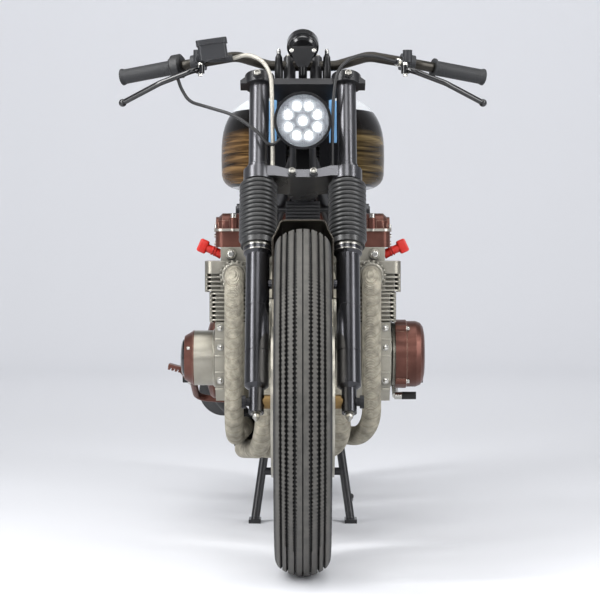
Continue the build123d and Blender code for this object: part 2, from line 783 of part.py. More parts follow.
bar_run = (bar_side[2] - bar_side[1]).normalized()
perch_at = on_bar(PERCH_X)
MIRROR_TOP = perch_at.Z + 26


def clamp_with_boss(side, half):
    """A clamp round the bar with an arm forward to the lever and a threaded mirror boss on top."""
    centre = Vector(side * perch_at.X, perch_at.Y, perch_at.Z)
    run = Vector(side * bar_run.X, bar_run.Y, bar_run.Z)
    bar(centre - run * half, centre + run * half, BAR_R + 7)
    knuckle = Vector(side * pivot.X, pivot.Y, pivot.Z)
    bar(centre, knuckle, PIVOT_R - 0.5)
    bar(knuckle - Vector(0, 0, 20), knuckle + Vector(0, 0, 20), PIVOT_R + SEAT, Mode.SUBTRACT)
    bar((centre.X, centre.Y - 14, centre.Z), (centre.X, centre.Y - 14, MIRROR_TOP), MIRROR_BOSS_R)


def cut_bores(side):
    """The bores for the bar and the mirror, through one clamp and all that is fused to it."""
    centre = Vector(side * perch_at.X, perch_at.Y, perch_at.Z)
    run = Vector(side * bar_run.X, bar_run.Y, bar_run.Z)
    bar(centre - run * 60, centre + run * 24, BAR_R + FIT, Mode.SUBTRACT)
    mouth = Vector(centre.X, centre.Y - 14, MIRROR_TOP)
    bar(mouth - Vector(0, 0, MIRROR_DEPTH), mouth + Vector(0, 0, 20), MIRROR_R, Mode.SUBTRACT)


ADJUSTER = Vector(196, -372, 1034)
ADJUSTER_ROOT = Vector(218, -344, 1031)
with BuildPart() as clutch_perch:
    clamp_with_boss(1, 15)
    bar(ADJUSTER_ROOT, ADJUSTER, 6)
    cut_bores(1)

OUTLET = Vector(-148, -386, 1040)
with BuildPart() as brake_master_cylinder:
    clamp_with_boss(-1, 14)
    level = Plane(
        origin=(RESERVOIR_X, RESERVOIR_Y, RESERVOIR_Z), x_dir=(0.99, 0, 0.14), z_dir=(-0.14, 0, 0.99)
    )
    with BuildSketch(level.offset(-RESERVOIR_DROP)):
        RectangleRounded(RESERVOIR_W, RESERVOIR_D, 8)
    extrude(amount=RESERVOIR_DROP + LID_AT)
    with BuildSketch(level.offset(LID_AT)):
        RectangleRounded(RESERVOIR_W + LID_LIP, RESERVOIR_D + LID_LIP, 9)
    extrude(amount=LID_H)
    bar((-perch_at.X, perch_at.Y, perch_at.Z + 4), (RESERVOIR_X - 10, RESERVOIR_Y + 2, RESERVOIR_Z - 6), 12)
    bar((RESERVOIR_X - 10, OUTLET.Y, RESERVOIR_Z - 16), OUTLET, 8)
    cut_bores(-1)

with BuildPart() as throttle_housing:
    housing_end = bar_side[2] + grip_run * (GRIP_START - SEAT)
    start = Vector(-housing_end.X, housing_end.Y, housing_end.Z)
    run = Vector(-grip_run.X, grip_run.Y, grip_run.Z)
    turn(start, run * -1, [(0, HOUSING_R - 3), (3, HOUSING_R), (20, HOUSING_R), (24, HOUSING_R - 5)])
    bar(start + run * 2, start - run * 26, BAR_R + FIT, Mode.SUBTRACT)

# Hoses and cables that the steering carries from the bars to the lower yoke and the lamp
YOKE_LAND = LOWER_YOKE_T + LOWER_YOKE_H + 1.2
HOSE = (
    OUTLET + Vector(2.0, 0, 0.2),
    (-116, -396, 1048),
    (-84, -414, 1034),
    (-66, -432, 1002),
    (-64, -444, 952),
    (-63, -454, 902),
    (-62, -470, 855),
    steer_point(-62, -70, YOKE_LAND),
)
CLUTCH = (
    ADJUSTER + (ADJUSTER - ADJUSTER_ROOT).normalized() * 2.1,
    (150, -392, 1046),
    (106, -406, 1044),
    (72, -426, 1014),
    (64, -440, 962),
    (62, -452, 907),
    (61, -468, 857),
    steer_point(61, -70, YOKE_LAND),
)
housing_mid = bar_side[2] + grip_run * (GRIP_START - 12)
LOOM = (
    (-housing_mid.X, housing_mid.Y - 13.6, housing_mid.Z - 24.7),
    (-256, -372, 976),
    (-238, -402, 948),
    (-196, -440, 934),
    (-140, -474, 916),
    (-92, -496, 880),
    (-66, -500, 849),
    (-42.4, -500, 867.8),
)


def cord(points, radius):
    """A cable with arcs as large as its runs allow; the radii follow from the turns."""
    spots = [Vector(*p) for p in points]
    radii = []
    for before, here, after in zip(spots, spots[1:], spots[2:]):
        turn_deg = (here - before).get_angle(after - here)
        shorter = min((here - before).length, (after - here).length)
        radii.append(0.45 * shorter * cos(radians(turn_deg / 2)) / max(sin(radians(turn_deg / 2)), 0.02))
    tube(spots, radius, radii)


with BuildPart() as brake_hose:
    cord(HOSE, HOSE_R)

with BuildPart() as control_cables:
    cord(CLUTCH, CABLE_R)
    cord(LOOM, CABLE_R)

# Frame: steering head, backbone, twin cradle, seat loop, stand lugs
BACKBONE_START = steer_point(0, 0, 640)
BACKBONE_END = Vector(0, 215, SEAT_RAIL_Z - 4)
BACKBONE_SLOPE = (BACKBONE_END.Z - BACKBONE_START.Z) / (BACKBONE_END.Y - BACKBONE_START.Y)


def backbone_z(y):
    """The height of the backbone's centre line."""
    return BACKBONE_START.Z + BACKBONE_SLOPE * (y - BACKBONE_START.Y)


with BuildPart() as frame:
    bar(steer_point(0, 0, LOWER_YOKE_T + LOWER_YOKE_H + 1), steer_point(0, 0, UPPER_YOKE_T - 1), HEAD_TUBE_R)
    bar(BACKBONE_START, BACKBONE_END, BACKBONE_R)
    tube(
        [
            steer_point(14, 6, 580),
            (RAIL_X, DOWNTUBE_Y, 600),
            (RAIL_X, DOWNTUBE_Y, RAIL_Z),
            (RAIL_X, SWINGARM_Y - 14, RAIL_Z),
            (RAIL_X, SWINGARM_Y + 14, 460),
            (SEAT_RAIL_X - 4, 190, SEAT_RAIL_Z),
        ],
        RAIL_R,
        (120, 50, 40, 120),
    )
    bar((0, 205, SEAT_RAIL_Z - 4), (SEAT_RAIL_X, 205, SEAT_RAIL_Z - 4), SEAT_RAIL_R)
    bar((RAIL_X, SWINGARM_Y, 430), (SEAT_RAIL_X, 500, SEAT_RAIL_Z), 11)
    for y in TANK_PEGS_Y:
        bar((0, y, backbone_z(y)), (TUNNEL_HALF - SEAT, y, backbone_z(y)), 11)
    bar((0, -180, RAIL_Z), (RAIL_X, -180, RAIL_Z), 12)
    bar((0, 90, RAIL_Z), (RAIL_X, 90, RAIL_Z), 12)
    with BuildSketch(Plane(origin=(RAIL_X - 6, 0, 0), x_dir=(0, 1, 0), z_dir=(1, 0, 0))):
        with Locations((STAND_Y, (STAND_Z + RAIL_Z) / 2)):
            RectangleRounded(34, RAIL_Z - STAND_Z + 26, 12)
    extrude(amount=12)
    bar((RAIL_X - 20, STAND_Y, STAND_Z), (RAIL_X + 20, STAND_Y, STAND_Z), STAND_PIN_R + RUN, Mode.SUBTRACT)
    bar((SEAT_RAIL_X, SHOCK_TOP[0], SHOCK_TOP[1]), (SHOCK_X + 14, SHOCK_TOP[0], SHOCK_TOP[1]), 7)
    mirror(about=Plane.YZ)
    tube(
        [
            (-SEAT_RAIL_X, 160, SEAT_RAIL_Z),
            (-SEAT_RAIL_X, LOOP_END, SEAT_RAIL_Z),
            (SEAT_RAIL_X, LOOP_END, SEAT_RAIL_Z),
            (SEAT_RAIL_X, 160, SEAT_RAIL_Z),
        ],
        SEAT_RAIL_R,
        80,
    )
    bar(steer_point(0, 0, 500), steer_point(0, 0, 760), STEM_R + RUN, Mode.SUBTRACT)

# Swingarm, rear axle and shocks
with BuildPart() as swingarm:
    pivot_half = RAIL_X - RAIL_R - SEAT
    bar((-pivot_half, SWINGARM_Y, SWINGARM_Z), (pivot_half, SWINGARM_Y, SWINGARM_Z), 21)
    for side in (-1, 1):
        tube(
            [
                (side * 62, SWINGARM_Y, SWINGARM_Z),
                (side * 66, SWINGARM_Y + 50, SWINGARM_Z - 3),
                (side * ARM_X, SWINGARM_Y + 140, SWINGARM_Z - 9),
                (side * ARM_X, REAR_Y + 36, REAR_Z),
            ],
            ARM_R,
            (50, 80),
        )
        bar((side * ARM_X, *SHOCK_FOOT), (side * (SHOCK_X + 14), *SHOCK_FOOT), 7)
        bar((side * ARM_X, SHOCK_FOOT[0], SHOCK_FOOT[1]), (side * ARM_X, SHOCK_FOOT[0], REAR_Z), 11)
    bar((-ARM_X - 30, REAR_Y, REAR_Z), (ARM_X + 30, REAR_Y, REAR_Z), AXLE_R + FIT, Mode.SUBTRACT)

with BuildPart() as rear_axle:
    end = ARM_X + ARM_R + 5
    bar((-end, REAR_Y, REAR_Z), (end, REAR_Y, REAR_Z), AXLE_R)
    for side in (-1, 1):
        inner = REAR_HUB_END + (13 if side < 0 else 21)
        bar((side * inner, REAR_Y, REAR_Z), (side * 90, REAR_Y, REAR_Z), 14)
        bar((side * end, REAR_Y, REAR_Z), (side * (end + 9), REAR_Y, REAR_Z), 14)

shock_run = Vector(0, SHOCK_FOOT[0] - SHOCK_TOP[0], SHOCK_FOOT[1] - SHOCK_TOP[1])
with BuildPart() as rear_shocks:
    top = Vector(SHOCK_X, *SHOCK_TOP)
    length = shock_run.length
    spring_start = 40.0
    spring_pitch = (length - 100) / SPRING_TURNS
    rings = [(-16, 16), (14, 16), (16, 26), (spring_start - 4, 26)]
    for k in range(SPRING_TURNS):
        rings.append((spring_start + k * spring_pitch, 18))
        rings.append((spring_start + (k + 0.25) * spring_pitch, 26))
        rings.append((spring_start + (k + 0.6) * spring_pitch, 26))
        rings.append((spring_start + (k + 0.85) * spring_pitch, 18))
    rings += [(length - 56, 26), (length - 48, 26), (length - 46, 15), (length + 16, 15)]
    turn(top, shock_run, rings)
    for y, z in (SHOCK_TOP, SHOCK_FOOT):
        bar((SHOCK_X - 30, y, z), (SHOCK_X + 30, y, z), 7 + FIT, Mode.SUBTRACT)
    mirror(about=Plane.YZ)

# Rear wheel
with BuildPart() as rear_tyre:
    revolve(tyre_section(WHEEL_REAR, REAR_TYRE_HALF, REAR_RIM_R, REAR_TYRE_R), axis=REAR_AXIS)

with BuildPart() as rear_rim:
    turn(REAR_AXLE, (1, 0, 0), rim_profile(REAR_RIM_R), hollow=True)

with BuildPart() as rear_hub:
    turn(
        REAR_AXLE,
        (1, 0, 0),
        [
            (-REAR_HUB_END, 74),
            (-REAR_FLANGE_X - 12, 76),
            (-REAR_FLANGE_X - 5, REAR_FLANGE_R + 5),
            (-REAR_FLANGE_X + 5, REAR_FLANGE_R + 5),
            (-REAR_FLANGE_X + 12, 62),
            (REAR_FLANGE_X - 5, 44),
            (REAR_FLANGE_X - 5, REAR_FLANGE_R + 5),
            (REAR_FLANGE_X + 5, REAR_FLANGE_R + 5),
            (REAR_FLANGE_X + 5, 58),
            (CHAIN_X - SPROCKET_T / 2, 58),
        ],
    )
    rear_spokes, rear_spoke_length = spoke_planes(REAR_AXLE, REAR_FLANGE_X, REAR_FLANGE_R, REAR_RIM_R)
    with BuildSketch(*rear_spokes):
        Circle(SPOKE_R)
    extrude(amount=rear_spoke_length)
    bar((-80, REAR_Y, REAR_Z), (80, REAR_Y, REAR_Z), AXLE_R + RUN, Mode.SUBTRACT)

SPROCKET_TIP_R = CHAIN_PITCH_R - CHAIN_H / 2 - 1
with BuildPart() as rear_sprocket:
    with BuildSketch(
        Plane(origin=(CHAIN_X - SPROCKET_T / 2, REAR_Y, REAR_Z), x_dir=(0, 1, 0), z_dir=(1, 0, 0))
    ):
        Circle(SPROCKET_TIP_R)
        with PolarLocations(SPROCKET_TIP_R + 1, TEETH):
            Circle(5, mode=Mode.SUBTRACT)
        Circle(AXLE_R + 10, mode=Mode.SUBTRACT)
        with PolarLocations(72, 6):
            Circle(11, mode=Mode.SUBTRACT)
    extrude(amount=SPROCKET_T)

with BuildPart() as rear_brake_plate:
    turn(
        REAR_AXLE,
        (-1, 0, 0),
        [(REAR_HUB_END + 5, 72), (REAR_HUB_END + 9, 74), (REAR_HUB_END + 13, 50), (REAR_HUB_END + 13, 0)],
    )
    bar((-REAR_HUB_END - 8, REAR_Y, REAR_Z), (-80, REAR_Y, REAR_Z), 16)
    bar((-70, REAR_Y - 40, REAR_Z + 30), (-82, REAR_Y - 40, REAR_Z + 30), 8)
    bar((-100, REAR_Y, REAR_Z), (-40, REAR_Y, REAR_Z), 14 + FIT, Mode.SUBTRACT)

# Engine
with BuildPart() as crankcase:
    case_side = [
        (ENGINE_FRONT - 5, CASE_TOP),
        (ENGINE_FRONT + BLOCK_DEPTH + 10, CASE_TOP),
        (30, CASE_TOP - 18),
        (30, CASE_BOTTOM),
        (ENGINE_FRONT + 50, CASE_BOTTOM),
        (ENGINE_FRONT - 5, CASE_BOTTOM + 48),
    ]
    with BuildSketch(Plane(origin=(-ENGINE_HALF, 0, 0), x_dir=(0, 1, 0), z_dir=(1, 0, 0))):
        with BuildLine():
            Polyline(*case_side, close=True)
        make_face()
    extrude(amount=2 * ENGINE_HALF)
    gearbox = [(30, CASE_TOP - 18), (120, 450), (165, 410), (165, 345), (110, CASE_BOTTOM), (30, CASE_BOTTOM)]
    with BuildSketch(Plane(origin=(-ENGINE_HALF, 0, 0), x_dir=(0, 1, 0), z_dir=(1, 0, 0))):
        with BuildLine():
            Polyline(*gearbox, close=True)
        make_face()
    extrude(amount=ENGINE_HALF + 58)
    turn(
        (ENGINE_HALF, CRANK_Y, CRANK_Z - 1),
        (1, 0, 0),
        [
            (-1, ALTERNATOR_R + 2),
            (4, ALTERNATOR_R + 2),
            (8, ALTERNATOR_R - 4),
            (ALTERNATOR_X - ENGINE_HALF, ALTERNATOR_R - 4),
        ],
    )
    turn(
        (-ENGINE_HALF, CRANK_Y, CRANK_Z - 10),
        (-1, 0, 0),
        [(-1, DRUM_R + 4), (6, DRUM_R + 4), (9, DRUM_R), (DRUM_X - ENGINE_HALF, DRUM_R)],
    )
    for y in (-150, 0):
        for x in (-RAIL_X, RAIL_X):
            block((x - 14, x + 14), (y - 25, y + 25), (RAIL_Z + RAIL_R + SEAT, CASE_BOTTOM + 4))

with BuildPart() as cylinder_block:
    core = BLOCK_FIN_HALF - FIN_DEPTH
    block((-core, core), (ENGINE_FRONT + 8, ENGINE_FRONT + BLOCK_DEPTH - 8), (CASE_TOP, BLOCK_TOP))
    for k in range(BLOCK_FINS):
        low = CASE_TOP + 4 + k * FIN_PITCH
        with BuildSketch(Plane.XY.offset(low)):
            with Locations((0, ENGINE_FRONT + BLOCK_DEPTH / 2)):
                RectangleRounded(2 * BLOCK_FIN_HALF, BLOCK_DEPTH, 16)
        extrude(amount=FIN_T)

with BuildPart() as cylinder_head:
    block((-HEAD_HALF, HEAD_HALF), (ENGINE_FRONT + 4, ENGINE_FRONT + BLOCK_DEPTH - 4), (BLOCK_TOP, HEAD_TOP))
    core = HEAD_FIN_HALF - FIN_DEPTH
    block((-core, core), (ENGINE_FRONT + 10, ENGINE_FRONT + BLOCK_DEPTH - 10), (BLOCK_TOP, FIN_BLOCK_TOP))
    for k in range(HEAD_FINS):
        low = BLOCK_TOP + 2 + k * FIN_PITCH
        with BuildSketch(Plane.XY.offset(low)):
            with Locations((0, ENGINE_FRONT + BLOCK_DEPTH / 2)):
                RectangleRounded(2 * HEAD_FIN_HALF, BLOCK_DEPTH, 18)
        extrude(amount=FIN_T)
    with BuildSketch(Plane.XY.offset(BLOCK_TOP + 2 + HEAD_FINS * FIN_PITCH)):
        with Locations((0, ENGINE_FRONT + BLOCK_DEPTH / 2)):
            RectangleRounded(2 * HEAD_FIN_HALF, BLOCK_DEPTH, 18)
    extrude(amount=FIN_BLOCK_TOP - BLOCK_TOP - 2 - HEAD_FINS * FIN_PITCH)
    for x in PORTS_X:
        bar((x, ENGINE_FRONT + 20, PORT_Z), (x, ENGINE_FRONT - PORT_LENGTH, PORT_Z), 26)

CAM_Y = (ENGINE_FRONT + 45, ENGINE_FRONT + BLOCK_DEPTH - 48)
cover_mid = ENGINE_FRONT + BLOCK_DEPTH / 2
with BuildPart() as valve_cover:
    for low, high, half, depth, corner in (
        (HEAD_TOP, COVER_SPLIT, ENGINE_HALF, BLOCK_DEPTH - 18, 20),
        (COVER_SPLIT, COVER_SPLIT + COVER_FLANGE_H, ENGINE_HALF + 3, BLOCK_DEPTH - 10, 22),
        (COVER_SPLIT + COVER_FLANGE_H, COVER_TOP - 16, ENGINE_HALF - 5, BLOCK_DEPTH - 26, 20),
    ):
        with BuildSketch(Plane.XY.offset(low)):
            with Locations((0, cover_mid)):
                RectangleRounded(2 * half, depth, corner)
        extrude(amount=high - low)
    for y in CAM_Y:
        turn(
            (-ENGINE_HALF + 1, y, COVER_TOP - CAM_R),
            (1, 0, 0),
            [
                (0, CAM_CAP_R),
                (6, CAM_CAP_R),
                (14, CAM_R),
                (2 * ENGINE_HALF - 16, CAM_R),
                (2 * ENGINE_HALF - 8, CAM_CAP_R),
                (2 * ENGINE_HALF - 2, CAM_CAP_R),
            ],
        )
    for x in COVER_BOSSES_X:
        front = ENGINE_FRONT + 13
        bar((x, front, COVER_SPLIT), (x, front, COVER_TOP - 10), 9)

with BuildPart() as spark_plug_caps:
    cap_run = [
        Vector(HEAD_HALF + SEAT, cover_mid, PLUG_Z),
        Vector(PLUG_REACH - 26, cover_mid, PLUG_Z),
        Vector(PLUG_REACH, cover_mid, PLUG_Z + 21),
    ]
    tube(cap_run, 9, 12)
    cap_end = cap_run[2] - cap_run[1]
    with BuildSketch(Plane(origin=cap_run[2] - cap_end.normalized() * 4, x_dir=(0, 1, 0), z_dir=cap_end)):
        RectangleRounded(21, 33, 5)
    extrude(amount=13)
    mirror(about=Plane.YZ)

with BuildPart() as exhaust_collars:
    for x in PORTS_X:
        face = Plane(origin=(x, ENGINE_FRONT - PORT_LENGTH, PORT_Z), x_dir=(1, 0, 0), z_dir=(0, -1, 0))
        with BuildSketch(face):
            Circle(COLLAR_R - 4)
            with PolarLocations(COLLAR_FIN_R - 5, COLLAR_FINS):
                Rectangle(10, COLLAR_FIN_T)
        extrude(amount=COLLAR_LENGTH - 4)
        turn(face.origin, (0, -1, 0), [(0, COLLAR_R - 3), (COLLAR_LENGTH, COLLAR_R - 6)])

with BuildPart() as alternator_cover:
    turn(
        (ALTERNATOR_X, CRANK_Y, CRANK_Z - 1),
        (1, 0, 0),
        [
            (0, ALTERNATOR_R + 3),
            (24, ALTERNATOR_R + 3),
            (26, ALTERNATOR_R),
            (46, ALTERNATOR_R),
            (56, ALTERNATOR_R - 4),
            (62, ALTERNATOR_R - 12),
            (65, ALTERNATOR_R - 26),
        ],
    )
    for angle in ALTERNATOR_LUGS:
        y = CRANK_Y + (ALTERNATOR_R + 2) * cos(radians(angle))
        z = CRANK_Z - 1 + (ALTERNATOR_R + 2) * sin(radians(angle))
        bar((ALTERNATOR_X, y, z), (ALTERNATOR_X + 24, y, z), 9)

with BuildPart() as ignition_cover:
    turn(
        (-DRUM_X, CRANK_Y, CRANK_Z - 10),
        (-1, 0, 0),
        [(0, DRUM_R), (3, DRUM_R), (5, DRUM_R - 2), (22, DRUM_R - 12)],
    )

with BuildPart() as ignition_cap:
    turn(
        (-DRUM_X - 22, CRANK_Y, CRANK_Z - 10),
        (-1, 0, 0),
        [(0, 42), (4, 40), (7, 32), (9, 18)],
    )

with BuildPart() as gearbox_covers:
    with BuildSketch(Plane(origin=(58 + SEAT, 0, 0), x_dir=(0, 1, 0), z_dir=(1, 0, 0))):
        with BuildLine():
            Polyline(
                (30 + SEAT, 452),
                (90, 452),
                (COVER_BACK, 445),
                (COVER_BACK, 345),
                (90, 330),
                (30 + SEAT, 335),
                close=True,
            )
        make_face()
        fillet(vertices(), 8)
    extrude(amount=42)
    turn(
        (-ENGINE_HALF, 62, CRANK_Z - 20),
        (-1, 0, 0),
        [(0, 92), (14, 92), (22, 86), (30, 60), (33, 30)],
    )

# Exhaust: four wrapped pipes gather under the engine on the right and feed one silencer
with BuildPart() as header_pipes:
    for port, low_x, low_z, turn_y, across, level in PIPES:
        end_x = COLLECTOR_X + across * PIPE_PITCH / 2
        end_z = COLLECTOR_Z + level * PIPE_PITCH / 2
        tube(
            [
                (port, ENGINE_FRONT - PORT_LENGTH - COLLAR_LENGTH, PORT_Z),
                (port, PIPE_FRONT_Y, PORT_Z),
                (low_x, PIPE_FRONT_Y, low_z),
                (end_x, turn_y, end_z),
                (end_x, COLLECTOR_Y, end_z),
            ],
            PIPE_R,
            (38, 60, 60),
        )

with BuildPart() as silencer:
    turn(
        (COLLECTOR_X, COLLECTOR_Y, COLLECTOR_Z),
        (0, 1, 0),
        [(0, COLLECTOR_R), (10, COLLECTOR_R), (70, 26), (80, 24)],
    )
    tube(
        [
            (COLLECTOR_X, COLLECTOR_Y + 66, COLLECTOR_Z),
            (COLLECTOR_X, COLLECTOR_Y + 100, COLLECTOR_Z),
            (SILENCER_X, SILENCER_START - 35, SILENCER_Z - 6),
            (SILENCER_X, SILENCER_START + 12, SILENCER_Z),
        ],
        24,
        (40, 40),
    )
    turn(
        (SILENCER_X, SILENCER_START, SILENCER_Z),
        (0, 1, 0),
        [
            (-10, 28),
            (0, 30),
            (60, SILENCER_R),
            (SILENCER_END - SILENCER_START - 14, SILENCER_R),
            (SILENCER_END - SILENCER_START, SILENCER_R - 14),
            (SILENCER_END - SILENCER_START, 22),
            (SILENCER_END - SILENCER_START - 40, 22),
        ],
    )
    bar((SILENCER_X, 480, SILENCER_Z + 40), (-ARM_X - ARM_R - 3.5, 480, 358), 6)

# Fuel system
CARB_Y = ENGINE_FRONT + BLOCK_DEPTH
with BuildPart() as carburettors:
    for x in PORTS_X:
        bar((x, CARB_Y + SEAT, PORT_Z + 5), (x, CARB_Y + 96, PORT_Z + 5), 24)
        block((x - 20, x + 20), (CARB_Y + 26, CARB_Y + 78), (PORT_Z - 48, PORT_Z + 5))
        bar((x, CARB_Y + 52, PORT_Z + 5), (x, CARB_Y + 52, PORT_Z + 68), 21)
    block((PORTS_X[0], PORTS_X[3]), (CARB_Y + 34, CARB_Y + 40), (PORT_Z - 12, PORT_Z + 12))

with BuildPart() as air_filters:
    for x in PORTS_X:
        turn(
            (x, CARB_Y + 96 + SEAT, PORT_Z + 5),
            (0, 1, 0),
            [(0, 28), (12, 28), (12, 36), (66, 33), (72, 28)],
        )

with BuildPart() as fuel_tank:
    for y, low_half, belly_half, top_half, low, belly, crest in TANK_SECTIONS:
        with BuildSketch(Plane.XZ.offset(-y)):
            with BuildLine():
                Polyline(
                    (low_half, low),
                    (belly_half, belly),
                    (top_half, crest),
                    (-top_half, crest),
                    (-belly_half, belly),
                    (-low_half, low),
                    close=True,
                )
            make_face()
            fillet(vertices(), 18)
    loft()
    with BuildSketch(Plane(origin=(-TUNNEL_HALF, 0, 0), x_dir=(0, 1, 0), z_dir=(1, 0, 0))):
        with BuildLine():
            Polyline(
                (-340, 700),
                (260, 700),
                (260, backbone_z(260) + BACKBONE_R + 10),
                (-340, backbone_z(-340) + BACKBONE_R + 10),
                close=True,
            )
        make_face()
    extrude(amount=2 * TUNNEL_HALF, mode=Mode.SUBTRACT)
    bar((0, CAP_Y, CAP_SEAT), (0, CAP_Y, CAP_SEAT + 40), CAP_R + FIT, Mode.SUBTRACT)

with BuildPart() as fuel_cap:
    turn((0, CAP_Y, CAP_SEAT), (0, 0, 1), [(0, CAP_R), (14, CAP_R), (18, CAP_R - 4)])

# Seat and tail
SEAT_BASE = SEAT_RAIL_Z + SEAT_RAIL_R + SEAT
with BuildPart() as seat:
    with BuildSketch(Plane.XY.offset(SEAT_BASE)):
        with BuildLine():
            Polyline(
                (-90, SEAT_START),
                (90, SEAT_START),
                (122, SEAT_START + 180),
                (120, SEAT_END),
                (-120, SEAT_END),
                (-122, SEAT_START + 180),
                close=True,
            )
        make_face()
        fillet(vertices(), 30)
    extrude(amount=SEAT_THICK)
    fillet(edges().group_by(Axis.Z)[-1], 18)

REAR_GUARD_R = REAR_TYRE_R + 18.0
with BuildPart() as rear_mudguard:
    start = radians(-24)
    guard_up = Vector(0, sin(start), cos(start))
    with BuildSketch(Plane(origin=REAR_AXLE, x_dir=(1, 0, 0), z_dir=guard_up.cross(Vector(1, 0, 0)) * -1)):
        with BuildLine():
            FilletPolyline(
                (-68, REAR_GUARD_R - 40),
                (-62, REAR_GUARD_R - 6),
                (62, REAR_GUARD_R - 6),
                (68, REAR_GUARD_R - 40),
                radius=24,
            )
        trace(line_width=MUDGUARD_SHEET)
    revolve(axis=REAR_AXIS, revolution_arc=-62)
    for side in (-1, 1):
        strut_foot = (side * 50, REAR_Y - 10, REAR_Z + REAR_GUARD_R - 6)
        strut_top = SEAT_RAIL_Z - SEAT_RAIL_R - SEAT
        tube(
            [
                strut_foot,
                (side * SEAT_RAIL_X, REAR_Y - 10, strut_foot[2] + 14),
                (side * SEAT_RAIL_X, REAR_Y - 10, strut_top),
            ],
            6,
            18,
        )

with BuildPart() as tail_lamp:
    turn((0, TAIL_Y, TAIL_Z), (0, 1, 0), [(0, 22), (8, 30), (26, 30), (34, 24), (36, 12)])
    post_y = LOOP_END + SEAT_RAIL_R + 7 + SEAT
    bar((0, post_y, TAIL_Z), (0, post_y, SEAT_RAIL_Z + 8), 7)

with BuildPart() as battery_box:
    block((-BATTERY_HALF, BATTERY_HALF), (BATTERY_START, BATTERY_END), (BATTERY_BASE, SEAT_RAIL_Z + 6))
    lip = SEAT_RAIL_X - SEAT_RAIL_R - SEAT
    block((-lip, lip), (BATTERY_START + 28, BATTERY_END - 20), (SEAT_RAIL_Z - 4, SEAT_RAIL_Z + 4))

with BuildPart() as regulator:
    block(
        (-REGULATOR_HALF, REGULATOR_HALF),
        (REGULATOR_FRONT, REGULATOR_BACK),
        (REGULATOR_LOW, REGULATOR_LOW + REGULATOR_H),
    )
    for k in range(REGULATOR_FINS):
        fin_low = REGULATOR_LOW + 2 + REGULATOR_FIN_PITCH * k
        block(
            (2 - REGULATOR_HALF, REGULATOR_HALF - 2),
            (REGULATOR_FRONT - REGULATOR_FIN_REACH, REGULATOR_FRONT + 1),
            (fin_low, fin_low + REGULATOR_FIN_PITCH / 2),
        )
    bar((-60, REGULATOR_BAR_Y, REGULATOR_BAR_Z), (60, REGULATOR_BAR_Y, REGULATOR_BAR_Z), 5)
    block((-14, 14), (REGULATOR_BACK - 1, REGULATOR_BAR_Y + 2.5), (REGULATOR_BAR_Z - 6, REGULATOR_BAR_Z + 6))

# Foot controls
with BuildPart() as footpegs:
    bar((RAIL_X + RAIL_R + SEAT, PEG_Y, PEG_Z), (PEG_START, PEG_Y, PEG_Z), PEG_R - 3)
    bar((PEG_START, PEG_Y, PEG_Z), (PEG_END, PEG_Y, PEG_Z), PEG_R)
    mirror(about=Plane.YZ)

with BuildPart() as brake_pedal:
    pedal_root = (-RAIL_X - RAIL_R - SEAT, 120, RAIL_Z)
    tube([pedal_root, (-246, 120, 292), (-250, 40, 330), (-274, -30, 366)], 8, (30, 60))
    with BuildSketch(Plane(origin=(-284, -66, 372), x_dir=(0.97, 0, -0.26), z_dir=(0, 1, 0))):
        Rectangle(38, 8)
        for k in range(PAD_TEETH):
            with Locations(((k - (PAD_TEETH - 1) / 2) * 8, 6)):
                Rectangle(4.5, 6)
    extrude(amount=46)

with BuildPart() as gear_lever:
    bar((ENGINE_HALF + SEAT, SHIFT_Y, SHIFT_Z), (SHIFT_X + 8, SHIFT_Y, SHIFT_Z), 8)
    toe = Vector(SHIFT_X, SHIFT_Y - SHIFT_LENGTH, SHIFT_Z - SHIFT_FALL)
    tube([(SHIFT_X, SHIFT_Y, SHIFT_Z), (SHIFT_X, SHIFT_Y - 38, SHIFT_Z - 10), toe], 7, 60)
    bar(toe - Vector(2, 0, 0), toe + Vector(SHIFT_TOE, 0, 0), 8.5)

# Drive chain: both runs leave the sprocket cover and wrap the rear sprocket
with BuildPart() as drive_chain:
    with BuildSketch(Plane(origin=(CHAIN_X - CHAIN_W / 2, 0, 0), x_dir=(0, 1, 0), z_dir=(1, 0, 0))):
        with BuildLine():
            chain_top = Line((COVER_BACK + 2, 432), (REAR_Y - 4, REAR_Z + CHAIN_PITCH_R))
            chain_turn = ThreePointArc(
                chain_top @ 1, (REAR_Y + CHAIN_PITCH_R, REAR_Z), (REAR_Y - 20, REAR_Z - CHAIN_PITCH_R + 2)
            )
            Line(chain_turn @ 1, (COVER_BACK + 2, 360))
        trace(line_width=CHAIN_H)
    extrude(amount=CHAIN_W)

# Centre stand
with BuildPart() as centre_stand:
    inner = RAIL_X - 6 - SEAT
    bar((-inner, STAND_Y, STAND_Z), (inner, STAND_Y, STAND_Z), STAND_TUBE_R)
    bar((-RAIL_X - 6, STAND_Y, STAND_Z), (RAIL_X + 6, STAND_Y, STAND_Z), STAND_PIN_R)
    brace_x = (STAND_LEG_X + STAND_FOOT_X) / 2
    brace_y = (STAND_Y + STAND_FOOT_Y) / 2
    bar((-brace_x, brace_y, STAND_BRACE_Z), (brace_x, brace_y, STAND_BRACE_Z), 9)
    for side in (-1, 1):
        bar((side * STAND_LEG_X, STAND_Y, STAND_Z), (side * STAND_FOOT_X, STAND_FOOT_Y, 3), STAND_TUBE_R - 1)
        foot_x = side * STAND_FOOT_X
        block((foot_x - 14, foot_x + 14), (STAND_FOOT_Y - 26, STAND_FOOT_Y + 34), (0, 9))
    bar((STAND_FOOT_X, STAND_FOOT_Y + 8, 60), (STAND_FOOT_X, STAND_FOOT_Y + 66, 46), 7)

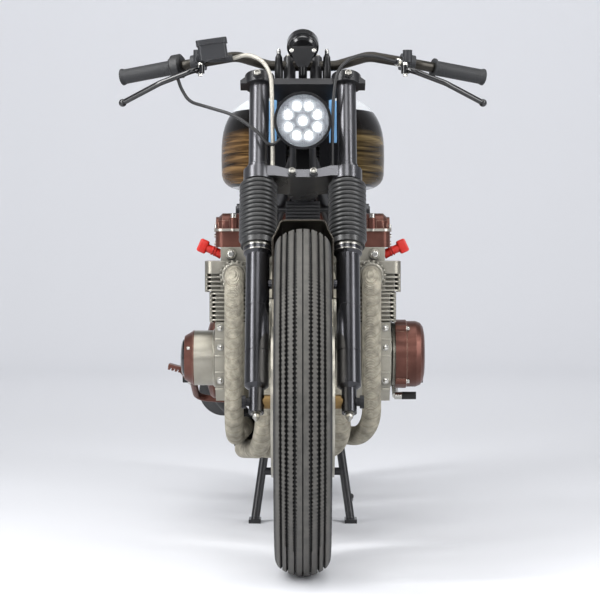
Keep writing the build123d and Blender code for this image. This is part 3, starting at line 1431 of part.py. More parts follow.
os.makedirs("parts", exist_ok=True)
PIECES = {
    "frame": frame,
    "swingarm": swingarm,
    "rear_axle": rear_axle,
    "rear_shocks": rear_shocks,
    "rear_brake_plate": rear_brake_plate,
    "crankcase": crankcase,
    "cylinder_block": cylinder_block,
    "cylinder_head": cylinder_head,
    "valve_cover": valve_cover,
    "alternator_cover": alternator_cover,
    "ignition_cover": ignition_cover,
    "ignition_cap": ignition_cap,
    "gearbox_covers": gearbox_covers,
    "spark_plug_caps": spark_plug_caps,
    "exhaust_collars": exhaust_collars,
    "header_pipes": header_pipes,
    "silencer": silencer,
    "carburettors": carburettors,
    "air_filters": air_filters,
    "fuel_tank": fuel_tank,
    "fuel_cap": fuel_cap,
    "seat": seat,
    "rear_mudguard": rear_mudguard,
    "tail_lamp": tail_lamp,
    "battery_box": battery_box,
    "regulator": regulator,
    "footpegs": footpegs,
    "brake_pedal": brake_pedal,
    "gear_lever": gear_lever,
    "drive_chain": drive_chain,
    "lower_yoke": lower_yoke,
    "upper_yoke": upper_yoke,
    "fork_uppers": fork_uppers,
    "fork_gaiters": fork_gaiters,
    "fork_sliders": fork_sliders,
    "front_axle": front_axle,
    "front_mudguard": front_mudguard,
    "brake_calipers": brake_calipers,
    "headlamp_shell": headlamp_shell,
    "headlamp_reflector": headlamp_reflector,
    "headlamp_lens": headlamp_lens,
    "speedometer": speedometer,
    "marker_lamps": marker_lamps,
    "handlebar": handlebar,
    "grips": grips,
    "levers": levers,
    "brake_master_cylinder": brake_master_cylinder,
    "clutch_perch": clutch_perch,
    "throttle_housing": throttle_housing,
    "brake_hose": brake_hose,
    "control_cables": control_cables,
    "front_tyre": front_tyre,
    "front_rim": front_rim,
    "front_hub": front_hub,
    "front_discs": front_discs,
    "rear_tyre": rear_tyre,
    "rear_rim": rear_rim,
    "rear_hub": rear_hub,
    "rear_sprocket": rear_sprocket,
    "centre_stand": centre_stand,
}
for name, piece in PIECES.items():
    piece.part.label = name
    export_step(piece.part, f"parts/{name}.step")
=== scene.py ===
import bmesh
import bpy
import json
from math import atan, cos, exp, pi, radians, sin, sqrt
from mathutils import Matrix, Vector


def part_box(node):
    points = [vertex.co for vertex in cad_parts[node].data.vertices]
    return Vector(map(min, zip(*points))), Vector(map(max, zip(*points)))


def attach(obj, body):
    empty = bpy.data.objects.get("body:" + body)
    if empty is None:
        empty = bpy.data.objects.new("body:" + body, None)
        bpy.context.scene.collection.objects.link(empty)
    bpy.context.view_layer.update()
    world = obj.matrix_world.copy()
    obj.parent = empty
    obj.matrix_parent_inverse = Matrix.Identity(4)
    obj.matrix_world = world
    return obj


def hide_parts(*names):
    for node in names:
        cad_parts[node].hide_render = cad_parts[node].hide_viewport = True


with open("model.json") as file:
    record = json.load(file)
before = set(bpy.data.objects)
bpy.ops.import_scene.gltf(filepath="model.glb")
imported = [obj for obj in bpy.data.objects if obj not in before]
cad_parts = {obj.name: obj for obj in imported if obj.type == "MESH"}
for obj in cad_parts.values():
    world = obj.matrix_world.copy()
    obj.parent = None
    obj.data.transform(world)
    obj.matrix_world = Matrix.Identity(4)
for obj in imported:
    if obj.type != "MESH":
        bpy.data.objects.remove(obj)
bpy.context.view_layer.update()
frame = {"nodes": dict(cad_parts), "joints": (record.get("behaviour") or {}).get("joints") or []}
nodes = frame["nodes"]
scene = bpy.context.scene

# Studio
# A round pale floor that curves up into a wall on every side and shows only its inside, large soft lamps,
# and a long lens at the valve cover's height, straight ahead of the front wheel.
PALE = (0.79, 0.80, 0.83)
FLOOR_R = 6.5
COVE_R = 2.0
WALL_TOP = 7.0

bm = bmesh.new()
middle = bm.verts.new((0, 0, 0))
floor_edge = bm.verts.new((FLOOR_R, 0, 0))
bm.edges.new((middle, floor_edge))
curl = bmesh.ops.spin(
    bm, geom=[floor_edge], cent=(FLOOR_R, 0, COVE_R), axis=(0, 1, 0), angle=-pi / 2, steps=16
)
wall_foot = curl["geom_last"][0]
wall_top = bm.verts.new((wall_foot.co.x, 0, WALL_TOP))
bm.edges.new((wall_foot, wall_top))
bmesh.ops.spin(
    bm, geom=bm.verts[:] + bm.edges[:], cent=(0, 0, 0), axis=(0, 0, 1), angle=2 * pi, steps=96, use_merge=True
)
bmesh.ops.remove_doubles(bm, verts=bm.verts, dist=1e-5)
bmesh.ops.recalc_face_normals(bm, faces=bm.faces)
outward = [f for f in bm.faces if f.normal.dot(f.calc_center_median() - Vector((0, 0, 3))) > 0]
bmesh.ops.reverse_faces(bm, faces=outward)
floor_mesh = bpy.data.meshes.new("studio_floor")
bm.to_mesh(floor_mesh)
bm.free()
floor_mesh.shade_smooth()
floor = bpy.data.objects.new("studio_floor", floor_mesh)
scene.collection.objects.link(floor)
paper = bpy.data.materials.new("studio_paper")
paper.use_nodes = True
paper.node_tree.nodes["Principled BSDF"].inputs["Base Color"].default_value = (*PALE, 1)
paper.node_tree.nodes["Principled BSDF"].inputs["Roughness"].default_value = 0.9
tree = paper.node_tree
facing = tree.nodes.new("ShaderNodeNewGeometry")
nothing = tree.nodes.new("ShaderNodeBsdfTransparent")
one_sided = tree.nodes.new("ShaderNodeMixShader")
tree.links.new(facing.outputs["Backfacing"], one_sided.inputs["Fac"])
tree.links.new(tree.nodes["Principled BSDF"].outputs["BSDF"], one_sided.inputs[1])
tree.links.new(nothing.outputs["BSDF"], one_sided.inputs[2])
tree.links.new(one_sided.outputs["Shader"], tree.nodes["Material Output"].inputs["Surface"])
floor_mesh.materials.append(paper)

world = bpy.data.worlds.new("studio_air")
world.use_nodes = True
world.node_tree.nodes["Background"].inputs["Color"].default_value = (0.96, 0.97, 1.0, 1)
world.node_tree.nodes["Background"].inputs["Strength"].default_value = 0.20
scene.world = world

SOFT_LAMPS = (
    # name, place, aim, width, height, watts
    ("lamp_left", (-2.5, -2.6, 1.7), (0, -0.4, 0.6), 0.9, 2.6, 72),
    ("lamp_right", (2.7, -2.2, 1.7), (0, -0.4, 0.6), 0.9, 2.6, 54),
    ("lamp_top", (0.0, -0.2, 3.8), (0, -0.2, 0.0), 3.0, 2.0, 52),
    ("lamp_front", (0.3, -6.2, 2.6), (0, -0.5, 0.6), 2.4, 1.6, 56),
    ("lamp_high", (0.0, -2.3, 3.4), (0, -0.4, 0.9), 1.2, 0.7, 18),
    ("strip_left", (-1.75, -1.2, 2.6), (0, -0.35, 0.9), 0.5, 1.7, 44),
    ("strip_right", (1.85, -1.2, 2.6), (0, -0.35, 0.9), 0.35, 1.7, 20),
    ("lamp_wall", (0.0, 3.6, 5.0), (0, 8.5, 1.6), 4.0, 1.0, 150),
)
for name, place, aim, width, height, watts in SOFT_LAMPS:
    data = bpy.data.lights.new(name, "AREA")
    data.shape = "RECTANGLE"
    data.size = width
    data.size_y = height
    data.energy = watts
    lamp = bpy.data.objects.new(name, data)
    lamp.location = place
    lamp.rotation_euler = (Vector(aim) - Vector(place)).to_track_quat("-Z", "Y").to_euler()
    lamp.visible_camera = False
    scene.collection.objects.link(lamp)

IMAGE_PX = 600
FOCAL_PX = 2295
HORIZON_PX = 244
MIDDLE_PX = 302.8
CAMERA_PLACE = (0, -5.22, 0.65)
camera_data = bpy.data.cameras.new("front_camera")
camera_data.sensor_width = 36
camera_data.lens = FOCAL_PX / IMAGE_PX * camera_data.sensor_width
camera_data.shift_x = (IMAGE_PX / 2 - MIDDLE_PX) / IMAGE_PX
camera = bpy.data.objects.new("front_camera", camera_data)
camera.location = CAMERA_PLACE
camera.rotation_euler = (pi / 2 - atan((IMAGE_PX / 2 - HORIZON_PX) / FOCAL_PX), 0, 0)
scene.collection.objects.link(camera)
scene.camera = camera
scene.view_settings.view_transform = "Standard"


# Frame and swingarm
# Welded steel tube, blasted and sprayed satin black in one go with the stand and the small brackets.
# The paint has a fine orange-peel surface, and it is rubbed thin along its edges.
def tone(red, green, blue):
    """A colour given as display values from 0 to 255, as the linear colour that a shader takes."""
    shares = (red / 255, green / 255, blue / 255)
    return tuple(c / 12.92 if c < 11 / 255 else ((c + 0.055) / 1.055) ** 2.4 for c in shares)


def feed(tree, value, node, socket):
    """Sets a node's socket to a value, or joins it to a node's first output or to a (node, output) pair."""
    if isinstance(value, bpy.types.Node):
        value = (value, 0)
    if isinstance(value, tuple) and isinstance(value[0], bpy.types.Node):
        tree.links.new(value[0].outputs[value[1]], node.inputs[socket])
    else:
        node.inputs[socket].default_value = value


def add_node(tree, kind, sockets, **settings):
    """A shader node with its settings, and its sockets set or fed."""
    node = tree.nodes.new("ShaderNode" + kind)
    for name, value in settings.items():
        setattr(node, name, value)
    for socket, value in sockets.items():
        feed(tree, value, node, socket)
    return node


def math_node(tree, operation, *values):
    """A Math node of one to three values."""
    return add_node(tree, "Math", dict(enumerate(values)), operation=operation)


def mix_colour(tree, factor, under, over, blend="MIX"):
    """Lays one colour over another where a factor says, each a plain tone or a (node, output) pair."""
    under, over = (c if isinstance(c[0], bpy.types.Node) else (*c, 1) for c in (under, over))
    sockets = {"Factor": factor, "A": under, "B": over}
    return (add_node(tree, "Mix", sockets, data_type="RGBA", blend_type=blend), "Result")


def emboss(tree, height, strength, distance, invert=False):
    """Lays one more relief over the normal that a finish has so far."""
    shader = tree.nodes["Principled BSDF"]
    below = shader.inputs["Normal"].links[0].from_node
    sockets = {"Strength": strength, "Distance": distance, "Height": height, "Normal": below}
    feed(tree, add_node(tree, "Bump", sockets, invert=invert), shader, "Normal")


def painted(tree):
    """The node and output that give a finish its colour so far."""
    socket = tree.nodes["Principled BSDF"].inputs["Base Color"].links[0].from_socket
    return (socket.node, socket.name)


def finish(
    name,
    colour,
    roughness,
    metallic=0.0,
    drift=0.12,
    grain=9.0,
    bump=0.08,
    fine=700.0,
    coat=0.0,
    soft=0.0008,
    wear_and_shade=None,
    hollow_shade=0.0,
    beyond=None,
):
    """A surface whose colour and gloss drift in soft patches, with a fine bump, soft edges that may be rubbed
    bare, painted shade that darkens its hollows, and a second colour, roughness and metal share past a limit
    on one axis (or on both its sides with "+", or in a band, given as its middle and half height, with "=")."""
    material = bpy.data.materials.new(name)
    material.use_nodes = True
    tree = material.node_tree
    place = (add_node(tree, "TexCoord", {}, name="place"), "Object")
    patches = add_node(tree, "TexNoise", {"Vector": place, "Scale": grain, "Detail": 5}, name="patches")
    shades = add_node(tree, "ValToRGB", {"Fac": patches})
    for stop, at, level in zip(shades.color_ramp.elements, (0.3, 0.7), (1 - drift, 1 + drift)):
        stop.position = at
        stop.color = (*[min(1.0, c * level) for c in colour], 1)
    paint = (shades, "Color")
    gloss = {"Value": patches, "From Min": 0.3, "From Max": 0.7}
    gloss |= {"To Min": roughness * 0.86, "To Max": roughness * 1.14}
    rough = add_node(tree, "MapRange", gloss)
    metal = metallic
    if beyond:
        axis, limit, second, second_rough, second_metal = beyond
        split = add_node(tree, "SeparateXYZ", {"Vector": place})
        value = (split, axis[-1])
        if axis[0] == "=":
            past = math_node(tree, "COMPARE", value, *limit)
        else:
            value = math_node(tree, "ABSOLUTE", value) if axis[0] == "+" else value
            past = math_node(tree, "GREATER_THAN", value, limit)
        paint = mix_colour(tree, past, paint, second)
        rough = (add_node(tree, "Mix", {"Factor": past, "A": rough, "B": second_rough}), "Result")
        metal = (add_node(tree, "Mix", {"Factor": past, "A": metallic, "B": second_metal}), "Result")
    # Painted shade: the hollows that the ambient occlusion node finds are darkened towards a near-black copy
    # of the colour.
    if hollow_shade:
        hollow = add_node(tree, "AmbientOcclusion", {"Distance": 0.03}, samples=6)
        depth = {"Value": (hollow, "AO"), "From Min": 0.15, "From Max": 0.75, "To Min": hollow_shade, "To Max": 0.0}
        paint = mix_colour(tree, add_node(tree, "MapRange", depth), paint, [c * 0.12 for c in colour])
    speckle = add_node(tree, "TexNoise", {"Vector": place, "Scale": fine})
    relief = add_node(tree, "Bump", {"Strength": bump, "Distance": 0.001, "Height": speckle})
    if soft:
        rounded = add_node(tree, "Bevel", {"Radius": soft}, samples=4)
        feed(tree, rounded, relief, "Normal")
        if wear_and_shade:
            flat = (add_node(tree, "NewGeometry", {}), "Normal")
            along = add_node(tree, "VectorMath", {0: flat, 1: rounded}, operation="DOT_PRODUCT")
            bend = {"Value": (along, "Value"), "From Min": 0.985, "From Max": 0.90}
            rubbed = math_node(tree, "MULTIPLY", add_node(tree, "MapRange", bend), patches)
            paint = mix_colour(tree, rubbed, paint, wear_and_shade)
    shader = {"Base Color": paint, "Metallic": metal, "Roughness": rough, "Normal": relief}
    shader |= {"Coat Weight": coat, "Coat Roughness": 0.08}
    for socket, value in shader.items():
        feed(tree, value, tree.nodes["Principled BSDF"], socket)
    return material


def dress(material, *names):
    """Gives CAD nodes their finish."""
    for name in names:
        nodes[name].data.materials.clear()
        nodes[name].data.materials.append(material)


satin_black = finish(
    "satin_black", tone(24, 24, 27), 0.38, bump=0.05, coat=0.15, wear_and_shade=tone(90, 90, 92), hollow_shade=0.4
)
dress(satin_black, "frame", "swingarm", "centre_stand", "battery_box", "rear_mudguard")


# Engine castings
# Sand-cast alloy, blasted to a warm pale grey: crankcase, cylinders, head and gearbox.
# The skin keeps the sand's grain, painted shade darkens the hollows between the fins, and the edges are
# bright.
cast_alloy = finish(
    "cast_alloy",
    tone(168, 164, 152),
    0.32,
    metallic=0.95,
    drift=0.16,
    grain=16,
    bump=0.3,
    fine=900,
    soft=0.0015,
    wear_and_shade=tone(222, 219, 208),
    hollow_shade=0.9,
)
dress(cast_alloy, "crankcase", "cylinder_block", "cylinder_head", "exhaust_collars", "carburettors")
dress(cast_alloy, "brake_calipers", "rear_brake_plate")


def settle(bm, name, body, material, slot, *stands_for, sharp=35):
    """Turns a finished bmesh into a piece that rides on a body."""
    bmesh.ops.remove_doubles(bm, verts=bm.verts, dist=1e-6)
    bmesh.ops.recalc_face_normals(bm, faces=bm.faces)
    mesh = bpy.data.meshes.new(name)
    bm.to_mesh(mesh)
    bm.free()
    mesh.shade_smooth()
    mesh.set_sharp_from_angle(angle=radians(sharp))
    mesh.materials.append(material)
    piece = bpy.data.objects.new(name, mesh)
    scene.collection.objects.link(piece)
    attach(piece, body)
    if stands_for:
        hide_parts(*stands_for)
    return piece


def upright(at, axis):
    """The matrix that stands a shape made along Z on a point, along an axis."""
    return Matrix.Translation(at) @ Vector(axis).to_track_quat("Z", "Y").to_matrix().to_4x4()


def drum(bm, at, axis, radius, height, segments=20, tip=None):
    """A closed round of a given height that stands on a point, along an axis."""
    middle = Vector(at) + Vector(axis).normalized() * height / 2
    return bmesh.ops.create_cone(
        bm,
        cap_ends=True,
        segments=segments,
        radius1=radius,
        radius2=radius if tip is None else tip,
        depth=height,
        matrix=upright(middle, axis),
    )["verts"]


def cap_screw(bm, at, axis, radius, height):
    """A socket-head screw seated at a point, with its hollow socket."""
    axis = Vector(axis).normalized()
    head = drum(bm, at, axis, radius, height, 18)
    lid = max({f for v in head for f in v.link_faces}, key=lambda f: f.calc_center_median().dot(axis))
    bmesh.ops.inset_region(bm, faces=[lid], thickness=radius * 0.16, depth=radius * 0.1)
    bmesh.ops.inset_region(bm, faces=[lid], thickness=radius * 0.28, depth=0)
    bmesh.ops.inset_region(bm, faces=[lid], thickness=radius * 0.02, depth=-height * 0.5)


def hex_nut(bm, at, axis, radius, height):
    """A hexagon head or nut seated at a point, on a round washer."""
    axis = Vector(axis).normalized()
    washer = height * 0.18
    drum(bm, at, axis, radius * 1.25, washer)
    body = drum(bm, Vector(at) + axis * washer, axis, radius, height - washer, 6)
    rim = {e for v in body for e in v.link_edges}
    bmesh.ops.bevel(
        bm, geom=list(rim), offset=radius * 0.1, segments=2, profile=0.5, affect="EDGES", material=-1
    )


bright_steel = finish("bright_steel", tone(205, 203, 196), 0.22, metallic=1.0, bump=0.03, soft=0)

# Bronze engine covers
# Cast covers in a metallic bronze coat: valve cover, alternator and ignition covers, gearbox sides.
# Bright screws hold them down, and the coat is rubbed bright along its edges.
BRONZE = tone(100, 64, 55)
BRONZE_SKIN = dict(
    metallic=0.7, drift=0.2, grain=26, bump=0.06, fine=1800, soft=0.0018, wear_and_shade=tone(190, 160, 140)
)
FLANGE_MIDDLE = 0.6805
FLANGE_HALF = 0.0026
bare_flange = ("=Z", (FLANGE_MIDDLE, FLANGE_HALF), tone(190, 186, 176), 0.3, 0.95)
bronze = finish("bronze_coat", BRONZE, 0.38, hollow_shade=0.5, **BRONZE_SKIN)
dress(bronze, "alternator_cover", "ignition_cover", "gearbox_covers", "brake_pedal")
cover_bronze = finish("cover_bronze", BRONZE, 0.36, hollow_shade=0.6, beyond=bare_flange, **BRONZE_SKIN)
dress(cover_bronze, "valve_cover")
gloss_black = finish(
    "gloss_black", tone(15, 15, 16), 0.14, drift=0.08, bump=0.02, coat=0.4, wear_and_shade=tone(70, 70, 72)
)
dress(gloss_black, "ignition_cap", "levers")
FLANGE_TOP = 0.684
FLANGE_SCREWS_Y = (0.022, 0.062, 0.104, 0.144)
BOSS_TOP = 0.707
BOSSES_X = (-0.150, -0.060, 0.060, 0.150)
COVER_END_X = 0.1895
END_SCREWS_Z = (0.652, 0.668)
LUG_ANGLES = (50, 130, 230, 310)
LUG_RING = 0.075
IGNITION_ANGLES = (35, 155, 275)
IGNITION_RING = 0.055


def on_cover(node, depth, ring, angle):
    """A point on a ring about a round cover's axis, at a depth from its low X and a bearing in degrees."""
    low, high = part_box(node)
    middle = (low + high) / 2
    return (low.x + depth, middle.y + ring * cos(radians(angle)), middle.z + ring * sin(radians(angle)))


cover_low, cover_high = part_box("valve_cover")
bm = bmesh.new()
for x in BOSSES_X:
    cap_screw(bm, (x, cover_low.y + 0.008, BOSS_TOP), (0, 0, 1), 0.0065, 0.009)
for side in (-1, 1):
    flange_x = side * (cover_high.x - 0.0045)
    for y in FLANGE_SCREWS_Y:
        cap_screw(bm, (flange_x, cover_low.y + y, FLANGE_TOP), (0, 0, 1), 0.0042, 0.008)
    for z in END_SCREWS_Z:
        cap_screw(bm, (side * COVER_END_X, cover_low.y + 0.035, z), (side, 0, 0), 0.004, 0.003)
for angle in LUG_ANGLES:
    hex_nut(bm, on_cover("alternator_cover", 0.024, LUG_RING, angle), (1, 0, 0), 0.0055, 0.007)
for angle in IGNITION_ANGLES:
    cap_screw(bm, on_cover("ignition_cover", 0.013, IGNITION_RING, angle), (-1, 0, 0), 0.004, 0.006)
settle(bm, "engine_screws", "chassis", bright_steel, "steel")


# Casting details
# Pillars that tie the fins' outer corners, ribs across the crankcase's front and bosses with their bolts,
# all of one casting with the case.
def slab(bm, at, size, turned=Matrix(), edge=0.0, segments=2):
    """A box of a given size about a point, turned if asked, its edges rounded if asked."""
    stretch = Matrix.Diagonal((*size, 1))
    verts = bmesh.ops.create_cube(bm, size=1, matrix=Matrix.Translation(at) @ turned @ stretch)["verts"]
    if edge:
        edges = list({e for v in verts for e in v.link_edges})
        bmesh.ops.bevel(
            bm, geom=edges, offset=edge, segments=segments, profile=0.5, affect="EDGES", material=-1
        )
    return verts


head_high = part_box("cylinder_head")[1]
block_low, block_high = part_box("cylinder_block")
PILLARS = (
    # half width of the fins, bottom, top
    (head_high.x, 0.546, 0.613),
    (block_high.x, 0.480, 0.546),
)
PILLAR_R = 0.005
RIBS_X = 0.1748
RIBS_Z = (0.336, 0.372, 0.408, 0.444)
CASE_BOLTS_X = 0.179
CASE_BOLTS_Z = (0.354, 0.426, 0.468)
PLUG_X = 0.155
PLUG_Z = 0.628
case_front = block_low.y
bm = bmesh.new()
for side in (-1, 1):
    for half, low_z, high_z in PILLARS:
        for y in (case_front + 0.016, case_front + 0.088, block_high.y - 0.016):
            drum(bm, (side * (half - 0.0052), y, low_z), (0, 0, 1), PILLAR_R, high_z - low_z, 16)
    for z in RIBS_Z:
        slab(bm, (side * RIBS_X, case_front - 0.001, z), (0.030, 0.012, 0.005), edge=0.0016)
    for z in CASE_BOLTS_Z:
        drum(bm, (side * CASE_BOLTS_X, case_front + 0.004, z), (0, -1, 0), 0.0092, 0.010, 24, 0.0080)
    drum(bm, (side * PLUG_X, case_front + 0.004, PLUG_Z), (0, -1, 0), 0.0120, 0.012, 24, 0.0105)
settle(bm, "case_ribs", "chassis", cast_alloy, "cast_alloy")
bm = bmesh.new()
for side in (-1, 1):
    for z in CASE_BOLTS_Z:
        hex_nut(bm, (side * CASE_BOLTS_X, case_front - 0.006, z), (0, -1, 0), 0.0055, 0.006)
    cap_screw(bm, (side * PLUG_X, case_front - 0.008, PLUG_Z), (0, -1, 0), 0.0072, 0.005)
settle(bm, "case_bolts", "chassis", bright_steel, "steel")

# Plug caps
# Angled caps moulded in red rubber, pushed onto the outer spark plugs.
# Two ribs run round each neck, and a rounded block closes its tip.
plug_red = finish("plug_red", tone(200, 34, 22), 0.36, drift=0.14, grain=30, bump=0.06, soft=0.002, hollow_shade=0.4)
cap_low, cap_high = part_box("spark_plug_caps")
cap_y = (cap_low.y + cap_high.y) / 2
CAP_ROOT_X = 0.1785
CAP_ROOT_Z = 0.627
CAP_TIP_X = 0.214
CAP_TIP_Z = 0.643
CAP_ROUNDS = (
    # start along the cap, length, radius at the start and at the end
    (0.000, 0.014, 0.0108, 0.0096),
    (0.013, 0.026, 0.0088, 0.0094),
    (0.014, 0.003, 0.0106, 0.0106),
    (0.020, 0.003, 0.0106, 0.0106),
)
CAP_BLOCK = (0.021, 0.020, 0.030)
bm = bmesh.new()
for side in (-1, 1):
    root = Vector((side * CAP_ROOT_X, cap_y, CAP_ROOT_Z))
    tip = Vector((side * CAP_TIP_X, cap_y, CAP_TIP_Z))
    lean = (tip - root).normalized()
    for start, length, radius, end in CAP_ROUNDS:
        drum(bm, root + lean * start, lean, radius, length, 24, end)
    turned = Matrix((lean, Vector((0, 1, 0)), lean.cross(Vector((0, 1, 0))))).transposed().to_4x4()
    slab(bm, tip + lean * 0.006, CAP_BLOCK, turned, edge=0.0045, segments=4)
settle(bm, "plug_caps_ribbed", "chassis", plug_red, "plug_red", "spark_plug_caps")


# Exhaust
# Four steel pipes bound in woven heat wrap that runs down from the collars in overlapping turns.
# The silencer is rolled steel in matt black heat paint.
WRAP_PITCH = 0.022
WEAVE_PITCH = 0.0034
heat_wrap = finish(
    "heat_wrap", tone(172, 166, 150), 0.95, drift=0.34, grain=70, bump=0.6, fine=800, soft=0, hollow_shade=0.6
)
tree = heat_wrap.node_tree
place = (tree.nodes["place"], "Object")
WRAP_RUN = (0.16, 1.0, -1.0)
run = (add_node(tree, "VectorMath", {0: place, 1: WRAP_RUN}, operation="DOT_PRODUCT"), "Value")
wobble = math_node(tree, "MULTIPLY_ADD", tree.nodes["patches"], 0.003, run)
lap = math_node(tree, "FRACT", math_node(tree, "MULTIPLY", wobble, 1 / WRAP_PITCH))
weft = math_node(tree, "SINE", math_node(tree, "MULTIPLY", run, 2 * pi / WEAVE_PITCH))
edge = add_node(tree, "ValToRGB", {"Fac": lap})
edge.color_ramp.elements[0].color = (0.74, 0.72, 0.69, 1)
edge.color_ramp.elements[1].position = 0.16
edge.color_ramp.elements[1].color = (1, 1, 1, 1)
wrap_paint = mix_colour(tree, 1, painted(tree), (edge, "Color"), "MULTIPLY")
feed(tree, wrap_paint, tree.nodes["Principled BSDF"], "Base Color")
emboss(tree, weft, 0.8, 0.0012)
emboss(tree, lap, 0.25, 0.0018)
dress(heat_wrap, "header_pipes")
heat_black = finish(
    "heat_black", tone(28, 28, 29), 0.6, drift=0.2, grain=12, bump=0.2, fine=900, wear_and_shade=tone(80, 78, 75)
)
dress(heat_black, "silencer")

# Air filters
# Round pod filters of black gauze, folded in pleats round a wire cage.
# Each is clamped on a carburettor by its rubber neck.
PLEATS = 40
filter_low, filter_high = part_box("air_filters")
FILTER_PITCH = 0.098
filter_z = (filter_low.z + filter_high.z) / 2
gauze = finish("filter_gauze", tone(30, 30, 31), 0.75, bump=0.3, fine=1500, soft=0)
tree = gauze.node_tree
split = add_node(tree, "SeparateXYZ", {"Vector": (tree.nodes["place"], "Object")})
across = math_node(tree, "WRAP", (split, "X"), FILTER_PITCH, 0)
centred = math_node(tree, "SUBTRACT", across, FILTER_PITCH / 2)
height = math_node(tree, "SUBTRACT", (split, "Z"), filter_z)
bearing = math_node(tree, "ARCTAN2", height, centred)
pleat = math_node(tree, "SINE", math_node(tree, "MULTIPLY", bearing, PLEATS))
emboss(tree, pleat, 0.9, 0.003)
dress(gauze, "air_filters")

# Fuel tank
# Pressed steel in pale silver, with a panel on each side painted with a reflection of brown wood grain under
# a dark band of painted reflection, a thin dark line round it, and a light blue nose that is painted
# near-black between the fork tubes and low down as painted shade, all under clear lacquer. The filler cap is
# polished.
TANK_SECTIONS = (
    # y, belly's half width, height of the bottom, the belly and the top
    (-0.316, 0.074, 0.778, 0.832, 0.905),
    (-0.286, 0.128, 0.767, 0.836, 0.958),
    (-0.120, 0.181, 0.766, 0.837, 0.985),  # the widest place
    (0.060, 0.160, 0.766, 0.830, 0.968),
    (0.198, 0.116, 0.768, 0.818, 0.905),
    (0.228, 0.090, 0.776, 0.815, 0.868),
)
TANK_HALF = 0.181
TUNNEL_HALF = 0.036
TUNNEL_TOP = 0.831
TUNNEL_SLOPE = -0.237
TANK_RINGS = 40
UPPER_ROUND = 3.0
LOWER_ROUND = 5.0
PANEL_LOW = 0.780
PANEL_HIGH = 0.936
PANEL_X = 0.085
DARK_REFLECTION_LOW = 0.880
DARK_REFLECTION_FADE = 60
LINE_WIDTH = 0.005
LINE_X = 0.082
NOSE_Y = -0.268
NOSE_SHADE_X = 0.056
NOSE_LOW = 0.866
tank_paint = finish("tank_paint", tone(210, 213, 216), 0.18, drift=0.05, grain=5, bump=0.01, soft=0)
tree = tank_paint.node_tree
shader = tree.nodes["Principled BSDF"]
shader.inputs["Specular IOR Level"].default_value = 0.02
place = (tree.nodes["place"], "Object")
split = add_node(tree, "SeparateXYZ", {"Vector": place})
height = (split, "Z")
across = math_node(tree, "ABSOLUTE", (split, "X"))
# Painted reflection: the streaked brown grain stands in for wood reflected in the side panels, warmer on the
# -X side and more olive on the +X side.
stretch = add_node(tree, "Mapping", {"Vector": place, "Scale": (9, 3.2, 150)})
streaks = add_node(tree, "TexNoise", {"Vector": stretch, "Scale": 1.0, "Detail": 6, "Distortion": 0.6})
reflected_woods = []
for dark, middle, light in (
    (tone(32, 23, 14), tone(84, 63, 39), tone(142, 111, 72)),
    (tone(28, 23, 15), tone(74, 61, 39), tone(122, 105, 70)),
):
    reflected_wood = add_node(tree, "ValToRGB", {"Fac": streaks})
    reflected_wood.color_ramp.elements[0].position = 0.32
    reflected_wood.color_ramp.elements[0].color = (*dark, 1)
    reflected_wood.color_ramp.elements[1].position = 0.72
    reflected_wood.color_ramp.elements[1].color = (*light, 1)
    reflected_wood.color_ramp.elements.new(0.52).color = (*middle, 1)
    reflected_woods.append((reflected_wood, "Color"))


def on_flanks(low, high, aside):
    """1 between two heights and past a distance from the middle, and 0 elsewhere."""
    above = math_node(tree, "GREATER_THAN", height, low)
    below = math_node(tree, "LESS_THAN", height, high)
    flank = math_node(tree, "GREATER_THAN", across, aside)
    return math_node(tree, "MULTIPLY", math_node(tree, "MULTIPLY", above, below), flank)


reflected_panel = mix_colour(tree, math_node(tree, "GREATER_THAN", (split, "X"), 0.0), *reflected_woods)
# Painted reflection: the panels' upper part fades into a near-black band that stands in for dark surroundings
# reflected in them.
rise = math_node(tree, "MULTIPLY", math_node(tree, "SUBTRACT", height, DARK_REFLECTION_LOW), DARK_REFLECTION_FADE)
in_dark_reflection = math_node(tree, "SMOOTH_MIN", rise, 1.0)
in_dark_reflection.use_clamp = True
reflected_panel = mix_colour(tree, in_dark_reflection, reflected_panel, tone(20, 18, 17))
inside = on_flanks(PANEL_LOW, PANEL_HIGH, PANEL_X)
outline = on_flanks(PANEL_LOW - LINE_WIDTH, PANEL_HIGH + LINE_WIDTH, LINE_X)
nose = math_node(tree, "LESS_THAN", (split, "Y"), NOSE_Y)
# Painted shade: the nose is painted near-black between the fork tubes and below a height, where it lies in
# shade.
low_nose = math_node(tree, "LESS_THAN", height, NOSE_LOW)
between_tubes = math_node(tree, "LESS_THAN", across, NOSE_SHADE_X)
nose_shade = math_node(tree, "MULTIPLY", nose, math_node(tree, "MAXIMUM", between_tubes, low_nose))
paint = mix_colour(tree, nose, painted(tree), tone(118, 164, 206))
paint = mix_colour(tree, nose_shade, paint, tone(26, 26, 28))
paint = mix_colour(tree, outline, paint, tone(16, 15, 15))
feed(tree, mix_colour(tree, inside, paint, reflected_panel), shader, "Base Color")


def between(rows, y, column):
    """A smooth value of one column of the sections at a place along the tank."""
    k = max(j for j in range(len(rows) - 1) if rows[j][0] <= y + 1e-9)
    share = (y - rows[k][0]) / (rows[k + 1][0] - rows[k][0])
    left = rows[max(k - 1, 0)]
    right = rows[min(k + 2, len(rows) - 1)]
    span = rows[k + 1][0] - rows[k][0]
    rise_left = (rows[k + 1][column] - left[column]) / (rows[k + 1][0] - left[0]) * span
    rise_right = (right[column] - rows[k][column]) / (right[0] - rows[k][0]) * span
    low, high = rows[k][column], rows[k + 1][column]
    square, cube = share**2, share**3
    value = (2 * cube - 3 * square + 1) * low + (cube - 2 * square + share) * rise_left
    return value + (3 * square - 2 * cube) * high + (cube - square) * rise_right


